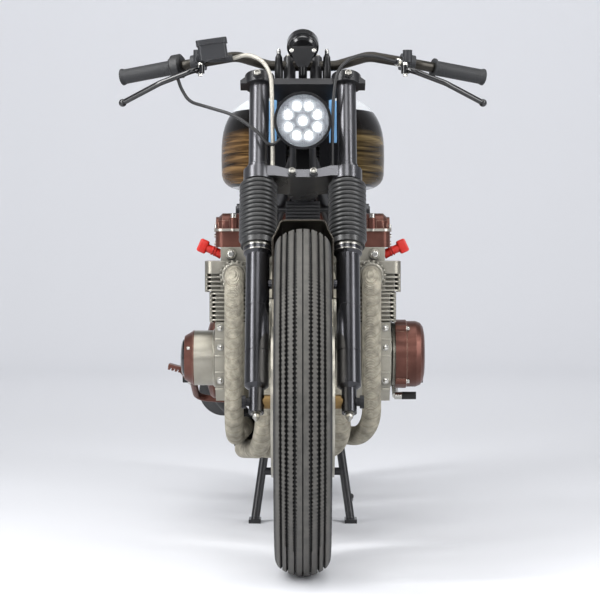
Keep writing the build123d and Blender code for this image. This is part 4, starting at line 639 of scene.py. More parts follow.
bm = bmesh.new()
rings = []
tank_start, tank_end = TANK_SECTIONS[0][0], TANK_SECTIONS[-1][0]
for k in range(TANK_RINGS + 1):
    y = tank_start + (tank_end - tank_start) * (1 - cos(pi * k / TANK_RINGS)) / 2
    half, low, belly, crest = (between(TANK_SECTIONS, y, column) for column in (1, 2, 3, 4))
    half = min(half, TANK_HALF)
    roof = min(TUNNEL_TOP + TUNNEL_SLOPE * y, crest - 0.006)
    side = [(TUNNEL_HALF, roof), (TUNNEL_HALF, low)]
    for j in range(9, 0, -1):
        turn = pi / 2 * j / 10
        x = half * cos(turn) ** (2 / LOWER_ROUND)
        if x > TUNNEL_HALF + 0.004:
            side.append((x, belly - (belly - low) * sin(turn) ** (2 / LOWER_ROUND)))
    for j in range(18):
        turn = pi / 2 * j / 18
        z = belly + (crest - belly) * sin(turn) ** (2 / UPPER_ROUND)
        side.append((half * cos(turn) ** (2 / UPPER_ROUND), z))
    loop = side + [(0, crest)] + [(-x, z) for x, z in reversed(side)]
    verts = [bm.verts.new((x, y, z)) for x, z in loop]
    rings.append([bm.edges.new(pair) for pair in zip(verts, verts[1:] + verts[:1])])
for ring, after in zip(rings, rings[1:]):
    bmesh.ops.bridge_loops(bm, edges=ring + after)
for ring in (rings[0], rings[-1]):
    bmesh.ops.contextual_create(bm, geom=ring)
settle(bm, "tank_shell", "chassis", tank_paint, "tank_white", "fuel_tank", sharp=40)
polished = finish("polished", tone(220, 220, 218), 0.1, metallic=1.0, drift=0.04, bump=0.01, soft=0.001)
dress(polished, "fuel_cap", "rear_axle")

# Seat
# A flat bench of dark brown leather over foam, sewn in cross channels, on a hidden steel pan.
# The pad is swelled by pressure from a smaller blank, then its sewn channels are pulled in.
seat_low, seat_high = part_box("seat")
SEAT_EDGE = 0.007
SEAT_HALF_OUTLINE = ((0.090, 0.236), (0.122, 0.416), (0.120, 0.838))
CHANNEL_PITCH = 0.052
CHANNEL_DEPTH = 0.007
CHANNEL_WIDTH = 0.007
CHANNEL_FLOOR = 0.35
SWELL = 0.009
WELT_R = 0.0032
seat_leather = finish(
    "seat_leather", tone(66, 41, 30), 0.5, drift=0.3, grain=14, bump=0.2, fine=420, soft=0, hollow_shade=0.5
)
tree = seat_leather.node_tree
pores = add_node(tree, "TexVoronoi", {"Vector": (tree.nodes["place"], "Object"), "Scale": 380})
emboss(tree, pores, 0.35, 0.0008)
middle_y = (seat_low.y + seat_high.y) / 2
bm = bmesh.new()
seat_outline = [(-x, y) for x, y in SEAT_HALF_OUTLINE[:1]] + list(SEAT_HALF_OUTLINE)
seat_outline += [(-x, y) for x, y in reversed(SEAT_HALF_OUTLINE[1:])]
rim = []
for x, y in seat_outline:
    inset_x = SEAT_EDGE if x > 0 else -SEAT_EDGE
    inset_y = SEAT_EDGE if y > middle_y else -SEAT_EDGE
    rim.append(bm.verts.new((x - inset_x, y - inset_y, seat_low.z)))
bm.faces.new(rim)
bmesh.ops.bevel(bm, geom=rim, offset=0.03, segments=6, profile=0.5, affect="VERTICES", material=-1)
welt_route = [v.co.copy() for v in bm.faces[:][0].verts]
lift = bmesh.ops.extrude_face_region(bm, geom=bm.faces[:])
top_verts = [v for v in lift["geom"] if isinstance(v, bmesh.types.BMVert)]
bmesh.ops.translate(bm, verts=top_verts, vec=(0, 0, seat_high.z - seat_low.z - SEAT_EDGE))
top_edges = [e for e in bm.edges if all(v in top_verts for v in e.verts)]
bmesh.ops.bevel(bm, geom=top_edges, offset=0.016, segments=4, profile=0.5, affect="EDGES", material=-1)
bmesh.ops.recalc_face_normals(bm, faces=bm.faces)
blank_mesh = bpy.data.meshes.new("seat_blank")
bm.to_mesh(blank_mesh)
bm.free()
blank = bpy.data.objects.new("seat_blank", blank_mesh)
scene.collection.objects.link(blank)
voxels = blank.modifiers.new("voxels", "REMESH")
voxels.mode = "VOXEL"
voxels.voxel_size = 0.006
seat_mesh = bpy.data.meshes.new_from_object(blank.evaluated_get(bpy.context.evaluated_depsgraph_get()))
bpy.data.objects.remove(blank)
seat_mesh.name = "seat_pad"
seat_pad = bpy.data.objects.new("seat_pad", seat_mesh)
scene.collection.objects.link(seat_pad)
flat_points = [v.co.copy() for v in seat_mesh.vertices]
held = seat_pad.vertex_groups.new(name="held")
held.add([v.index for v in seat_mesh.vertices if v.co.z < seat_low.z + 0.008], 1.0, "REPLACE")
cloth = seat_pad.modifiers.new("cloth", "CLOTH")
cloth.settings.use_pressure = True
cloth.settings.uniform_pressure_force = 4
cloth.settings.effector_weights.gravity = 0
cloth.settings.vertex_group_mass = "held"
cloth.settings.quality = 5
for step in range(1, 21):
    scene.frame_set(step)
    bpy.context.view_layer.update()
swelled = bpy.data.meshes.new_from_object(seat_pad.evaluated_get(bpy.context.evaluated_depsgraph_get()))
for v, start, end in zip(seat_mesh.vertices, flat_points, swelled.vertices):
    move = end.co - start
    if move.length > SWELL:
        move.length = SWELL
    v.co = start + move
seat_pad.modifiers.remove(cloth)
bpy.data.meshes.remove(swelled)
scene.frame_set(1)
first_channel = seat_low.y + 0.045
channel_count = int((seat_high.y - first_channel) / CHANNEL_PITCH)
channels = [first_channel + CHANNEL_PITCH * k for k in range(channel_count)]
for v in seat_mesh.vertices:
    height = (v.co.z - seat_low.z) / (seat_high.z - seat_low.z)
    if height > CHANNEL_FLOOR:
        nearest = min(abs(v.co.y - y) for y in channels)
        fade = min(1, (height - CHANNEL_FLOOR) / 0.4)
        v.co.z -= CHANNEL_DEPTH * exp(-((nearest / CHANNEL_WIDTH) ** 2)) * fade
seat_mesh.shade_smooth()
smoother = seat_pad.modifiers.new("smoother", "SUBSURF")
smoother.levels = 1
smoother.render_levels = 1
seat_mesh.materials.clear()
seat_mesh.materials.append(seat_leather)
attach(seat_pad, "chassis")
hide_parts("seat")


def cord(name, routes, radius, material, closed=False):
    """A round wire along one or more routes, as a piece that rides on the chassis."""
    curve = bpy.data.curves.new(name, "CURVE")
    curve.dimensions = "3D"
    curve.bevel_depth = radius
    curve.bevel_resolution = 3
    for route in routes:
        line = curve.splines.new("POLY")
        line.use_cyclic_u = closed
        line.points.add(len(route) - 1)
        for point, spot in zip(line.points, route):
            point.co = (*spot, 1)
    curve.materials.append(material)
    piece = bpy.data.objects.new(name, curve)
    scene.collection.objects.link(piece)
    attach(piece, "chassis")


welt_line = []
for spot in welt_route:
    outward = Vector((spot.x, spot.y - middle_y, 0)).normalized() * 0.001
    welt_line.append((spot.x + outward.x, spot.y + outward.y, seat_low.z + 0.006))
cord("seat_welt", [welt_line], WELT_R, seat_leather, closed=True)

# Tail lamp
# A small round lamp on a post behind the seat: a pressed black shell, and a red lens moulded in
# clear plastic over its rear half.
tail_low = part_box("tail_lamp")[0]
lens = ("Y", tail_low.y + 0.016, tone(150, 12, 10), 0.08, 0.0)
dress(finish("tail_lamp_finish", tone(20, 20, 21), 0.3, bump=0.03, beyond=lens), "tail_lamp")

# Rear shocks
# Two dampers with their springs outside: black wire coiled round a bright turned body, between two collars.
# A rubber-bushed eye at each end takes the frame's and the swingarm's pin.
SHOCK_X = 0.152
SHOCK_TOP = Vector((0, 0.520, 0.735))
SHOCK_FOOT = Vector((0, 0.680, 0.392))
SPRING_COILS = 11
COIL_R = 0.0215
WIRE_R = 0.0042
damper_steel = finish("damper_steel", tone(70, 70, 72), 0.25, metallic=0.9, drift=0.1, bump=0.03)
shock_run = (SHOCK_FOOT - SHOCK_TOP).normalized()
shock_length = (SHOCK_FOOT - SHOCK_TOP).length
bm = bmesh.new()
SHOCK_PARTS = (
    # distance from the top eye, length, radius
    (0.016, 0.022, 0.0255),
    (0.038, shock_length - 0.094, 0.0150),
    (shock_length - 0.056, 0.010, 0.0255),
    (shock_length - 0.046, 0.034, 0.0140),
    (0.004, 0.012, 0.0120),
)
for side in (-1, 1):
    for start, length, radius in SHOCK_PARTS:
        spot = SHOCK_TOP + Vector((side * SHOCK_X, 0, 0)) + shock_run * start
        drum(bm, spot, shock_run, radius, length, 28)
    for eye in (SHOCK_TOP, SHOCK_FOOT):
        drum(bm, eye + Vector((side * SHOCK_X - 0.013, 0, 0)), (1, 0, 0), 0.0158, 0.026, 28)
        drum(bm, eye + Vector((side * SHOCK_X - 0.0155, 0, 0)), (1, 0, 0), 0.0095, 0.031, 24)
settle(bm, "shock_dampers", "chassis", damper_steel, "dark_steel", "rear_shocks")
coil_side = Vector((1, 0, 0))
coil_back = shock_run.cross(coil_side)
COIL_POINTS = 24
coils = []
for side in (-1, 1):
    coil = []
    for k in range(SPRING_COILS * COIL_POINTS + 1):
        turn = 2 * pi * k / COIL_POINTS
        reach = 0.041 + (shock_length - 0.101) * (k / (SPRING_COILS * COIL_POINTS))
        spot = SHOCK_TOP + shock_run * reach + coil_side * COIL_R * cos(turn) + coil_back * COIL_R * sin(turn)
        coil.append((spot.x + side * SHOCK_X, spot.y, spot.z))
    coils.append(coil)
cord("shock_springs", coils, WIRE_R, gloss_black)

# Foot controls
# Pegs of steel bar with a rubber sleeve pushed over each outer end.
# The gear lever is polished steel with a rubber on its toe.
PEG_SLEEVE_X = 0.141
TOE_X = 0.222
sleeve = ("+X", PEG_SLEEVE_X, tone(26, 26, 26), 0.7, 0.0)
dress(finish("peg_finish", tone(120, 118, 112), 0.35, metallic=0.9, beyond=sleeve), "footpegs")
toe_rubber = ("X", TOE_X, tone(26, 26, 26), 0.65, 0.0)
dress(finish("lever_finish", tone(196, 194, 188), 0.25, metallic=1.0, beyond=toe_rubber), "gear_lever")

# Drive chain and sprocket
# A roller chain of pressed side plates on turned rollers and pins, dark with oil.
# It runs round a toothed sprocket cut from steel plate.
oiled_steel = finish(
    "oiled_steel", tone(104, 98, 88), 0.36, metallic=0.95, drift=0.3, grain=60, bump=0.1, hollow_shade=0.5
)
dress(oiled_steel, "rear_sprocket")
chain_low, chain_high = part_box("drive_chain")
chain_x = (chain_low.x + chain_high.x) / 2
sprocket_low, sprocket_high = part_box("rear_sprocket")
sprocket = (sprocket_low + sprocket_high) / 2
LINK_PITCH = 0.0159
CHAIN_TOP_FRONT = Vector((chain_x, 0.152, 0.4321))
CHAIN_LOW_FRONT = Vector((chain_x, 0.152, 0.3597))
CHAIN_R = 0.103
upper_end = sprocket + Vector((0, -0.004, CHAIN_R))
lower_end = sprocket + Vector((0, -0.020, -CHAIN_R + 0.002))
stops = []
run = upper_end - CHAIN_TOP_FRONT
stops += [CHAIN_TOP_FRONT + run * (k * LINK_PITCH / run.length) for k in range(int(run.length / LINK_PITCH))]
wrap = int(pi * CHAIN_R / LINK_PITCH)
for k in range(wrap + 1):
    turn = pi / 2 + 0.04 - (pi + 0.2) * k / wrap
    stops.append(sprocket + Vector((0, CHAIN_R * cos(turn), CHAIN_R * sin(turn))))
run = CHAIN_LOW_FRONT - lower_end
lower_links = int(run.length / LINK_PITCH) - 1
stops += [lower_end + run * ((k + 1) * LINK_PITCH / run.length) for k in range(lower_links)]
PLATE_T = 0.0014
PLATE_HEIGHT = 0.0112
INNER_PLATE_X = 0.0035
OUTER_PLATE_X = 0.0052
across = Vector((1, 0, 0))
bm = bmesh.new()
for k, (here, there) in enumerate(zip(stops, stops[1:])):
    lean = (there - here).normalized()
    turned = Matrix((across, lean, across.cross(lean))).transposed().to_4x4()
    size = (PLATE_T, (there - here).length + 0.0098, PLATE_HEIGHT)
    for side in (-1, 1):
        offset = side * (OUTER_PLATE_X if k % 2 else INNER_PLATE_X)
        plate = slab(bm, (here + there) / 2 + across * offset, size, turned)
        edges = {e for v in plate for e in v.link_edges}
        corners = [e for e in edges if abs((e.verts[0].co - e.verts[1].co).x) > PLATE_T - 0.0001]
        bmesh.ops.bevel(bm, geom=corners, offset=0.0048, segments=3, profile=0.5, affect="EDGES", material=-1)
    drum(bm, here - across * 0.0062, across, 0.0042, 0.0124, 12)
settle(bm, "chain_links", "chassis", oiled_steel, "dark_steel", "drive_chain")

# Wheels
# Wire wheels: satin black rims, cast hubs laced with bright spokes, and two drilled steel discs in front.
# Brass-coloured nipples draw each spoke up at the rim.
dress(satin_black, "front_rim", "rear_rim")
hub_alloy = finish(
    "hub_alloy", tone(168, 166, 158), 0.3, metallic=0.9, drift=0.12, grain=20, bump=0.1, hollow_shade=0.5
)
dress(hub_alloy, "front_hub", "rear_hub")
disc_steel = finish(
    "disc_steel", tone(196, 192, 180), 0.32, metallic=0.9, drift=0.12, grain=50, bump=0.12, fine=1400
)
dress(disc_steel, "front_discs")
brass = finish("brass", tone(150, 126, 88), 0.36, metallic=0.95, drift=0.15, grain=40, bump=0.06, soft=0.001)
SPOKES_A_SIDE = 18
SPOKE_LEAN = radians(38)
SPOKE_END_X = 0.009
RIM_LIP = 0.008
RIM_DEPTH = 0.013
NIPPLE_R = 0.0029
NIPPLE_LENGTH = 0.012
for wheel, rim_node in (("front_wheel", "front_rim"), ("rear_wheel", "rear_rim")):
    low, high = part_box(rim_node)
    axle = (low + high) / 2
    inner = (high.z - low.z) / 2 - RIM_LIP - RIM_DEPTH
    bm = bmesh.new()
    for side in (-1, 1):
        for k in range(SPOKES_A_SIDE):
            step = 2 * pi / SPOKES_A_SIDE
            turn = k * step + (0 if side > 0 else step / 2) + (SPOKE_LEAN if k % 2 else -SPOKE_LEAN)
            out = Vector((0, cos(turn), sin(turn)))
            foot = axle + Vector((side * SPOKE_END_X, 0, 0)) + out * (inner - NIPPLE_LENGTH - 0.0005)
            drum(bm, foot, out, NIPPLE_R, NIPPLE_LENGTH, 10)
    settle(bm, wheel + "_nipples", wheel, brass, "brass")


# Tyres
# Black rubber with a straight groove round the middle and saw-edged grooves to each side of it.
# The ribs keep the rubber's grey, and the grooves are painted darker towards their floors as painted shade.
def distance(tree, first, second):
    """The length of a flat offset that is given as two values."""
    flat = add_node(tree, "CombineXYZ", {"X": first, "Y": second})
    return (add_node(tree, "VectorMath", {0: flat}, operation="LENGTH"), "Value")


def groove_rubber(name, axle, crown_centre, crown_r):
    """Tyre rubber that is painted darker below the crown's surface, as painted shade in the grooves; the
    crown's surface is a circle in the tyre's section.
    """
    material = finish(name, tone(78, 76, 72), 0.62, drift=0.24, grain=60, bump=0.5, fine=600, soft=0)
    tree = material.node_tree
    place = (tree.nodes["place"], "Object")
    local = add_node(tree, "VectorMath", {0: place, 1: axle}, operation="SUBTRACT")
    split = add_node(tree, "SeparateXYZ", {"Vector": local})
    radius = distance(tree, (split, "Y"), (split, "Z"))
    depth = distance(tree, (split, "X"), math_node(tree, "SUBTRACT", radius, crown_centre))
    # Painted shade: the deeper a point lies below the crown's surface, the darker its colour is made.
    wear_and_shade = {"Value": depth, "From Min": crown_r - 0.0022, "From Max": crown_r - 0.0003}
    wear_and_shade |= {"To Min": 0.03, "To Max": 1.0}
    groove_shade = (add_node(tree, "MapRange", wear_and_shade), "Result")
    paint = mix_colour(tree, 1, painted(tree), groove_shade, "MULTIPLY")
    feed(tree, paint, tree.nodes["Principled BSDF"], "Base Color")
    return material


TREAD_GROOVES = (
    # share of the half width from the middle, half width, depth, saw amplitude
    (-0.82, 0.0018, 0.0050, 0.0018),
    (-0.60, 0.0019, 0.0060, 0.0030),
    (-0.30, 0.0019, 0.0060, 0.0030),
    (0.00, 0.0013, 0.0060, 0.0),
    (0.30, 0.0019, 0.0060, 0.0030),
    (0.60, 0.0019, 0.0060, 0.0030),
    (0.82, 0.0018, 0.0050, 0.0018),
)
TREAD_STEPS = 480
SHOULDER_SHARE = 0.89
SHOULDER_DROP = 0.018
BEAD_HALF = 0.0297
BEAD_LIP = 0.009


def tyre(name, node, body, rim_r):
    """A grooved tyre spun from its section, in place of its plain solid."""
    low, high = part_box(node)
    axle = (low + high) / 2
    half = (high.x - low.x) / 2
    outer = (high.z - low.z) / 2
    shoulder = half * SHOULDER_SHARE
    crown_r = (shoulder**2 + SHOULDER_DROP**2) / (2 * SHOULDER_DROP)
    crown_centre = outer - crown_r

    def crown(x, sunk=0.0):
        """A point of the section on the crown, or sunk below it."""
        lean = Vector((x, sqrt(crown_r**2 - x**2)))
        lean.length = crown_r - sunk
        return lean.x, crown_centre + lean.y

    start = Vector((BEAD_HALF, rim_r + BEAD_LIP))
    end = Vector((shoulder, outer - SHOULDER_DROP))
    pull = Vector((half, (rim_r + outer) / 2)) * 2 - (start + end) / 2
    wall = [start.lerp(pull, k / 12).lerp(pull.lerp(end, k / 12), k / 12) for k in range(13)]
    section = [(-BEAD_HALF, rim_r)] + [(-p.x, p.y) for p in wall]
    saw_edges = []
    last = -shoulder
    for share, groove_half, depth, saw in TREAD_GROOVES:
        left = share * shoulder * 1.06 - groove_half
        right = left + 2 * groove_half
        saw_edges += [(crown(left), saw), (crown(right), -saw)]
        section += [crown((last + left) / 2), crown(left), crown(left + 0.0003, depth)]
        section += [crown(right - 0.0003, depth), crown(right)]
        last = right
    section += [crown((last + shoulder) / 2)] + [(p.x, p.y) for p in reversed(wall)] + [(BEAD_HALF, rim_r)]
    bm = bmesh.new()
    verts = [bm.verts.new(axle + Vector((x, 0, r))) for x, r in section]
    edges = [bm.edges.new(pair) for pair in zip(verts, verts[1:])]
    edges.append(bm.edges.new((verts[-1], verts[0])))
    bmesh.ops.spin(
        bm,
        geom=verts + edges,
        cent=axle,
        axis=(1, 0, 0),
        angle=2 * pi,
        steps=TREAD_STEPS,
        use_merge=True,
    )
    for v in bm.verts:
        spot = v.co - axle
        reach = sqrt(spot.y**2 + spot.z**2)
        for (x, r), saw in saw_edges:
            if saw and abs(spot.x - x) < 1e-5 and abs(reach - r) < 1e-5:
                angle = Vector((spot.y, spot.z)).angle_signed(Vector((0, 1)))
                if round(angle / (2 * pi) * TREAD_STEPS) % 2:
                    v.co.x -= saw
    rubber = groove_rubber(name + "_rubber", axle, crown_centre, crown_r)
    return settle(bm, name, body, rubber, "tyre", node, sharp=30)


for end in ("front", "rear"):
    low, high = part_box(end + "_rim")
    tyre(end + "_tyre_grooved", end + "_tyre", end + "_wheel", (high.z - low.z) / 2 - RIM_LIP)

# Fork
# Steel upper tubes in a dark satin coat, rubber gaiters, and black sliders that clamp the axle.
# The yokes are forged alloy in the same coat, pinched round the tubes by socket screws.
fork_coat = finish(
    "fork_coat",
    tone(82, 82, 85),
    0.28,
    metallic=0.85,
    drift=0.08,
    grain=7,
    bump=0.03,
    wear_and_shade=tone(150, 150, 152),
    hollow_shade=0.4,
)
dress(fork_coat, "fork_uppers", "lower_yoke")
yoke_black = finish(
    "yoke_black",
    tone(40, 40, 42),
    0.36,
    metallic=0.3,
    drift=0.1,
    grain=9,
    bump=0.06,
    wear_and_shade=tone(110, 110, 112),
    hollow_shade=0.5,
)
dress(yoke_black, "upper_yoke")
slider_coat = finish(
    "slider_coat",
    tone(66, 66, 69),
    0.24,
    metallic=0.85,
    drift=0.12,
    grain=6,
    bump=0.03,
    wear_and_shade=tone(120, 120, 122),
)
dress(slider_coat, "fork_sliders")
gaiter_rubber = finish(
    "gaiter_rubber", tone(48, 48, 48), 0.35, drift=0.2, grain=20, bump=0.12, fine=500, hollow_shade=0.75
)
dress(gaiter_rubber, "fork_gaiters")
AXLE_ENDS_X = 0.082
axle_ends = ("+X", AXLE_ENDS_X, tone(46, 46, 48), 0.4, 0.8)
axle_brass = finish("axle_brass", tone(122, 100, 66), 0.42, metallic=0.9, drift=0.2, beyond=axle_ends)
dress(axle_brass, "front_axle")
steering = next(j for j in frame["joints"] if j["name"] == "steering_turn")
STEER_BASE = Vector(steering["pos_m"])
STEER_UP = Vector(steering["axis"])
STEER_BACK = Vector((0, STEER_UP.z, -STEER_UP.y))
FORK_X = 0.091
FORK_BACK = -0.055
PINCH_SCREW_R = 0.0068
RISER_SCREW_R = 0.0105
GAITER_BANDS = (
    # height up the fork, radius, width
    (0.3352, 0.0300, 0.0058),
    (0.3255, 0.0294, 0.002),
)


def steer_point(x, back, up):
    """A point given across, backward and up the steering axis."""
    return STEER_BASE + Vector((x, 0, 0)) + STEER_BACK * back + STEER_UP * up


screw_steel = finish(
    "screw_steel", tone(150, 148, 142), 0.3, metallic=0.95, drift=0.15, grain=60, soft=0, hollow_shade=0.6
)
bm = bmesh.new()
for side in (-1, 1):
    cap_screw(bm, steer_point(side * 0.095, -0.090, 0.730), -STEER_BACK, PINCH_SCREW_R, 0.005)
    cap_screw(bm, steer_point(side * 0.022, -0.088, 0.498), -STEER_BACK, PINCH_SCREW_R, 0.005)
    cap_screw(bm, steer_point(side * 0.028, -0.0354, 0.799), STEER_UP, RISER_SCREW_R, 0.004)
    foot = steer_point(side * FORK_X, FORK_BACK, -0.024)
    hex_nut(bm, foot, -STEER_UP, 0.0085, 0.010)
    drum(bm, foot - STEER_UP * 0.010, -STEER_UP, 0.0068, 0.007, 16, 0.0025)
    for up, radius, width in GAITER_BANDS:
        drum(bm, steer_point(side * FORK_X, FORK_BACK, up), STEER_UP, radius, width, 40)
settle(bm, "fork_screws", "steering", screw_steel, "steel")
bm = bmesh.new()
hex_nut(bm, steer_point(0, -0.044, 0.732), STEER_UP, 0.0085, 0.011)
settle(bm, "stem_bolt", "steering", brass, "brass")

# Front mudguard
# A short hoop rolled from thin steel, carried on two stays under the lower yoke.
# It is dull brown with road dust, and its front edge is rubbed bright.
guard_steel = finish(
    "guard_steel",
    tone(50, 44, 36),
    0.5,
    metallic=0.5,
    drift=0.3,
    grain=16,
    bump=0.15,
    soft=0.0014,
    wear_and_shade=tone(190, 184, 170),
)
dress(guard_steel, "front_mudguard")

# Lamp
# A small round lamp in a black shell: nine bright emitters in polished cups set in a dotted silver plate,
# behind clear glass.
dress(gloss_black, "headlamp_shell")
reflector_low, reflector_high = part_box("headlamp_reflector")
lamp = (reflector_low + reflector_high) / 2
CUP_RING = 0.032
CUP_R = 0.0092
PLATE_R = (reflector_high.x - reflector_low.x) / 2 - 0.0003
plate_y = reflector_low.y + 0.0003
cups = [Vector((lamp.x, plate_y, lamp.z))]
for k in range(8):
    turn = radians(22.5 + 45 * k)
    cups.append(Vector((lamp.x + CUP_RING * cos(turn), plate_y, lamp.z + CUP_RING * sin(turn))))
dotted = finish("lamp_plate", tone(150, 153, 156), 0.3, metallic=0.6, drift=0.05, bump=0.02, soft=0)
tree = dotted.node_tree
place = (tree.nodes["place"], "Object")
dots = add_node(tree, "TexVoronoi", {"Vector": place, "Scale": 230, "Randomness": 0.0})
studs = add_node(tree, "Bump", {"Strength": 1.0, "Distance": 0.002, "Height": dots})
split = add_node(tree, "SeparateXYZ", {"Vector": place})
drop = math_node(tree, "SUBTRACT", (split, "Z"), lamp.z)
reach = distance(tree, (split, "X"), drop)
bearing = math_node(tree, "ARCTAN2", drop, (split, "X"))
swing = math_node(tree, "SUBTRACT", math_node(tree, "WRAP", bearing, radians(45), 0), radians(22.5))
outward = math_node(tree, "SUBTRACT", reach, CUP_RING)
ring_gap = distance(tree, math_node(tree, "MULTIPLY", swing, CUP_RING), outward)
# Painted light: the plate is given a glow round each cup and at its middle, standing in for the emitters'
# light falling on it.
halo = {"Value": math_node(tree, "MINIMUM", ring_gap, reach), "From Min": 0.007, "From Max": 0.017}
halo |= {"To Min": 0.6, "To Max": 0.0}
glare = add_node(tree, "MapRange", halo, interpolation_type="SMOOTHSTEP")
shine = {"Normal": studs, "Emission Color": (0.93, 0.97, 1.0, 1), "Emission Strength": glare}
for socket, value in shine.items():
    feed(tree, value, tree.nodes["Principled BSDF"], socket)
bm = bmesh.new()
plate_back = Vector((lamp.x, reflector_high.y - 0.0003, lamp.z))
drum(bm, plate_back, (0, -1, 0), PLATE_R, reflector_high.y - plate_y - 0.0006, 64)
settle(bm, "lamp_plate", "steering", dotted, "chrome", "headlamp_reflector")
bm = bmesh.new()
for cup in cups:
    stand = upright(cup, (0, -1, 0))
    ring = bmesh.ops.create_circle(bm, cap_ends=False, segments=28, radius=CUP_R, matrix=stand)
    lip = list({e for v in ring["verts"] for e in v.link_edges})
    bmesh.ops.extrude_edge_only(bm, edges=lip)
    bmesh.ops.translate(bm, verts=ring["verts"], vec=(0, -0.0018, 0))
    bmesh.ops.scale(
        bm, vec=(1.12, 1, 1.12), verts=ring["verts"], space=Matrix.Translation(-Vector((cup.x, 0, cup.z)))
    )
settle(bm, "lamp_cups", "steering", polished, "chrome")
glow = bpy.data.materials.new("lamp_glow")
glow.use_nodes = True
tree = glow.node_tree
place = (add_node(tree, "TexCoord", {}), "Object")
chips = add_node(tree, "TexVoronoi", {"Vector": place, "Scale": 260})
level = add_node(tree, "MapRange", {"Value": chips, "To Min": 3.4, "To Max": 2.2})
feed(tree, level, tree.nodes["Principled BSDF"], "Emission Strength")
feed(tree, (0.95, 0.98, 1.0, 1), tree.nodes["Principled BSDF"], "Emission Color")
bm = bmesh.new()
for cup in cups:
    drum(bm, cup, (0, -1, 0), CUP_R * 0.86, 0.0012, 24, CUP_R * 0.6)
settle(bm, "lamp_emitters", "steering", glow, "lens")
clear_glass = bpy.data.materials.new("clear_glass")
clear_glass.use_nodes = True
tree = clear_glass.node_tree
place = (add_node(tree, "TexCoord", {}), "Object")
smears = add_node(tree, "TexNoise", {"Vector": place, "Scale": 30})
film = add_node(tree, "MapRange", {"Value": smears, "To Min": 0.0, "To Max": 0.05})
glass = {"Base Color": (0.97, 0.98, 1, 1), "Transmission Weight": 1, "IOR": 1.12, "Roughness": film}
for socket, value in glass.items():
    feed(tree, value, tree.nodes["Principled BSDF"], socket)
dress(clear_glass, "headlamp_lens")

# Speedometer and marker lamps
# A black cup that faces the rider, with a white dial, ticks and a red needle, on a pressed plate held by
# two screws. The marker posts are black with bright tips.
dress(gloss_black, "speedometer")
GAUGE = Vector((0, -0.388, 1.065))
GAUGE_DIR = Vector((0, cos(radians(30)), sin(radians(30))))
gauge_up = Vector((0, -GAUGE_DIR.z, GAUGE_DIR.y))
dial_white = finish("dial_white", tone(226, 224, 214), 0.5, drift=0.05, bump=0.02, soft=0)
dial_black = finish("dial_black", tone(22, 22, 22), 0.5, drift=0.05, bump=0.02, soft=0)
needle_red = finish("needle_red", tone(196, 30, 22), 0.4, drift=0.05, bump=0.02, soft=0)
bm = bmesh.new()
drum(bm, GAUGE + GAUGE_DIR * 0.0155, GAUGE_DIR, 0.0285, 0.001, 48)
settle(bm, "dial_face", "steering", dial_white, "tank_white")
DIAL_TICKS = 25
DIAL_SWEEP = 260
NEEDLE_ANGLE = -118
dial_at = GAUGE + GAUGE_DIR * 0.0166


def dial_bar(bm, angle, middle, size, lift=0.0):
    """A thin bar on the dial that points out along a bearing, in degrees from its top."""
    out = gauge_up * cos(radians(angle)) + Vector((1, 0, 0)) * sin(radians(angle))
    turned = Matrix((out.cross(GAUGE_DIR), out, GAUGE_DIR)).transposed().to_4x4()
    slab(bm, dial_at + out * middle + GAUGE_DIR * lift, size, turned)


bm = bmesh.new()
for k in range(DIAL_TICKS):
    width, length = (0.0011, 0.006) if k % 4 == 0 else (0.0006, 0.0035)
    angle = -DIAL_SWEEP / 2 + DIAL_SWEEP * k / (DIAL_TICKS - 1)
    dial_bar(bm, angle, 0.027 - length / 2, (width, length, 0.0004))
drum(bm, dial_at, GAUGE_DIR, 0.004, 0.002, 20)
settle(bm, "dial_ticks", "steering", dial_black, "black_plastic")
bm = bmesh.new()
dial_bar(bm, NEEDLE_ANGLE, 0.010, (0.0012, 0.026, 0.0006), lift=0.0014)
settle(bm, "dial_needle", "steering", needle_red, "plug_red")
bm = bmesh.new()
for x in (-0.0235, 0.0235):
    cap_screw(bm, (x, -0.4102, 1.0545), (0, -1, 0), 0.0042, 0.003)
settle(bm, "gauge_screws", "steering", bright_steel, "steel")
marker_tip = ("Z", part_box("marker_lamps")[1].z - 0.011, tone(190, 190, 186), 0.25, 1.0)
dress(finish("marker_finish", tone(20, 20, 21), 0.35, bump=0.05, beyond=marker_tip), "marker_lamps")

# Regulator
# A finned alloy casting sprayed black, under the lower yoke.
# Two bright screws hold it to a cross bar of the frame.
dress(satin_black, "regulator")
regulator_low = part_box("regulator")[0]
bm = bmesh.new()
for x in (-0.0285, 0.0285):
    cap_screw(bm, (x, regulator_low.y, regulator_low.z + 0.0035), (0, -1, 0), 0.0045, 0.003)
settle(bm, "regulator_screws", "chassis", bright_steel, "steel")

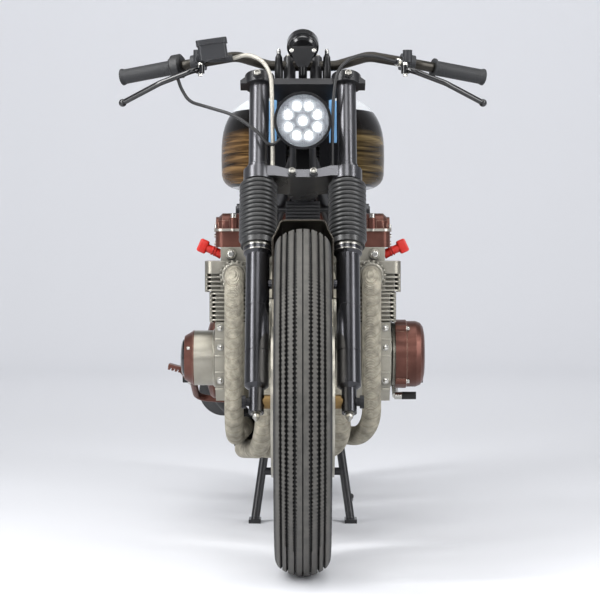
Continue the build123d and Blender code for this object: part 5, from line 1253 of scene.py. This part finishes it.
# Handlebar and controls
# Bent steel bar in a dark bronze-black coat, with moulded rubber grips ringed at both ends pushed over it.
# Cast clamps hold the gloss black levers, and a braided steel hose runs down from the brake's cylinder.
bar_coat = finish("bar_coat", tone(50, 47, 42), 0.32, metallic=0.7, drift=0.1, grain=12, bump=0.04, soft=0)
dress(bar_coat, "handlebar")
clamp_grey = finish(
    "clamp_grey",
    tone(40, 41, 44),
    0.45,
    metallic=0.2,
    drift=0.12,
    grain=20,
    bump=0.15,
    soft=0.0015,
    wear_and_shade=tone(110, 110, 112),
)
dress(clamp_grey, "brake_master_cylinder", "clutch_perch")
black_plastic = finish("black_plastic", tone(26, 26, 27), 0.45, bump=0.15, fine=1200, soft=0.001)
dress(black_plastic, "throttle_housing", "control_cables")
GRIP_RINGS = (0.296, 0.304, 0.372, 0.380)
GRIP_RING_HALF = 0.0013
grip_rubber = finish("grip_rubber", tone(36, 37, 39), 0.55, drift=0.12, bump=0.1, fine=900, soft=0.001)
tree = grip_rubber.node_tree
place = (tree.nodes["place"], "Object")
split = add_node(tree, "SeparateXYZ", {"Vector": place})
reach = math_node(tree, "ABSOLUTE", (split, "X"))
rings = [math_node(tree, "COMPARE", reach, ring, GRIP_RING_HALF) for ring in GRIP_RINGS]
total = rings[0]
for ring in rings[1:]:
    total = math_node(tree, "MAXIMUM", total, ring)
knurl = add_node(tree, "TexVoronoi", {"Vector": place, "Scale": 520, "Randomness": 0.15})
emboss(tree, knurl, 0.5, 0.001)
emboss(tree, total, 1.0, 0.002, invert=True)
dress(grip_rubber, "grips")
braided = finish(
    "braided_steel",
    tone(176, 172, 162),
    0.38,
    metallic=0.5,
    drift=0.15,
    grain=200,
    bump=0.6,
    fine=1300,
    soft=0,
)
dress(braided, "brake_hose")
LEVER_PIVOT = (0.216, -0.372)
PIVOT_NUT_LOW = 1.0090
PIVOT_NUT_HIGH = 1.0270
bm = bmesh.new()
for side in (-1, 1):
    x, y = side * LEVER_PIVOT[0], LEVER_PIVOT[1]
    hex_nut(bm, (x, y, PIVOT_NUT_HIGH), (0, 0, 1), 0.0055, 0.005)
    hex_nut(bm, (x, y, PIVOT_NUT_LOW), (0, 0, -1), 0.0050, 0.006)
adjuster = Vector((0.196, -0.372, 1.034))
adjuster_root = Vector((0.218, -0.344, 1.031))
pull = (adjuster - adjuster_root).normalized()
drum(bm, adjuster - pull * 0.014, pull, 0.0088, 0.007, 24)
drum(bm, adjuster - pull * 0.006, pull, 0.0072, 0.004, 6)
settle(bm, "control_screws", "steering", bright_steel, "steel")
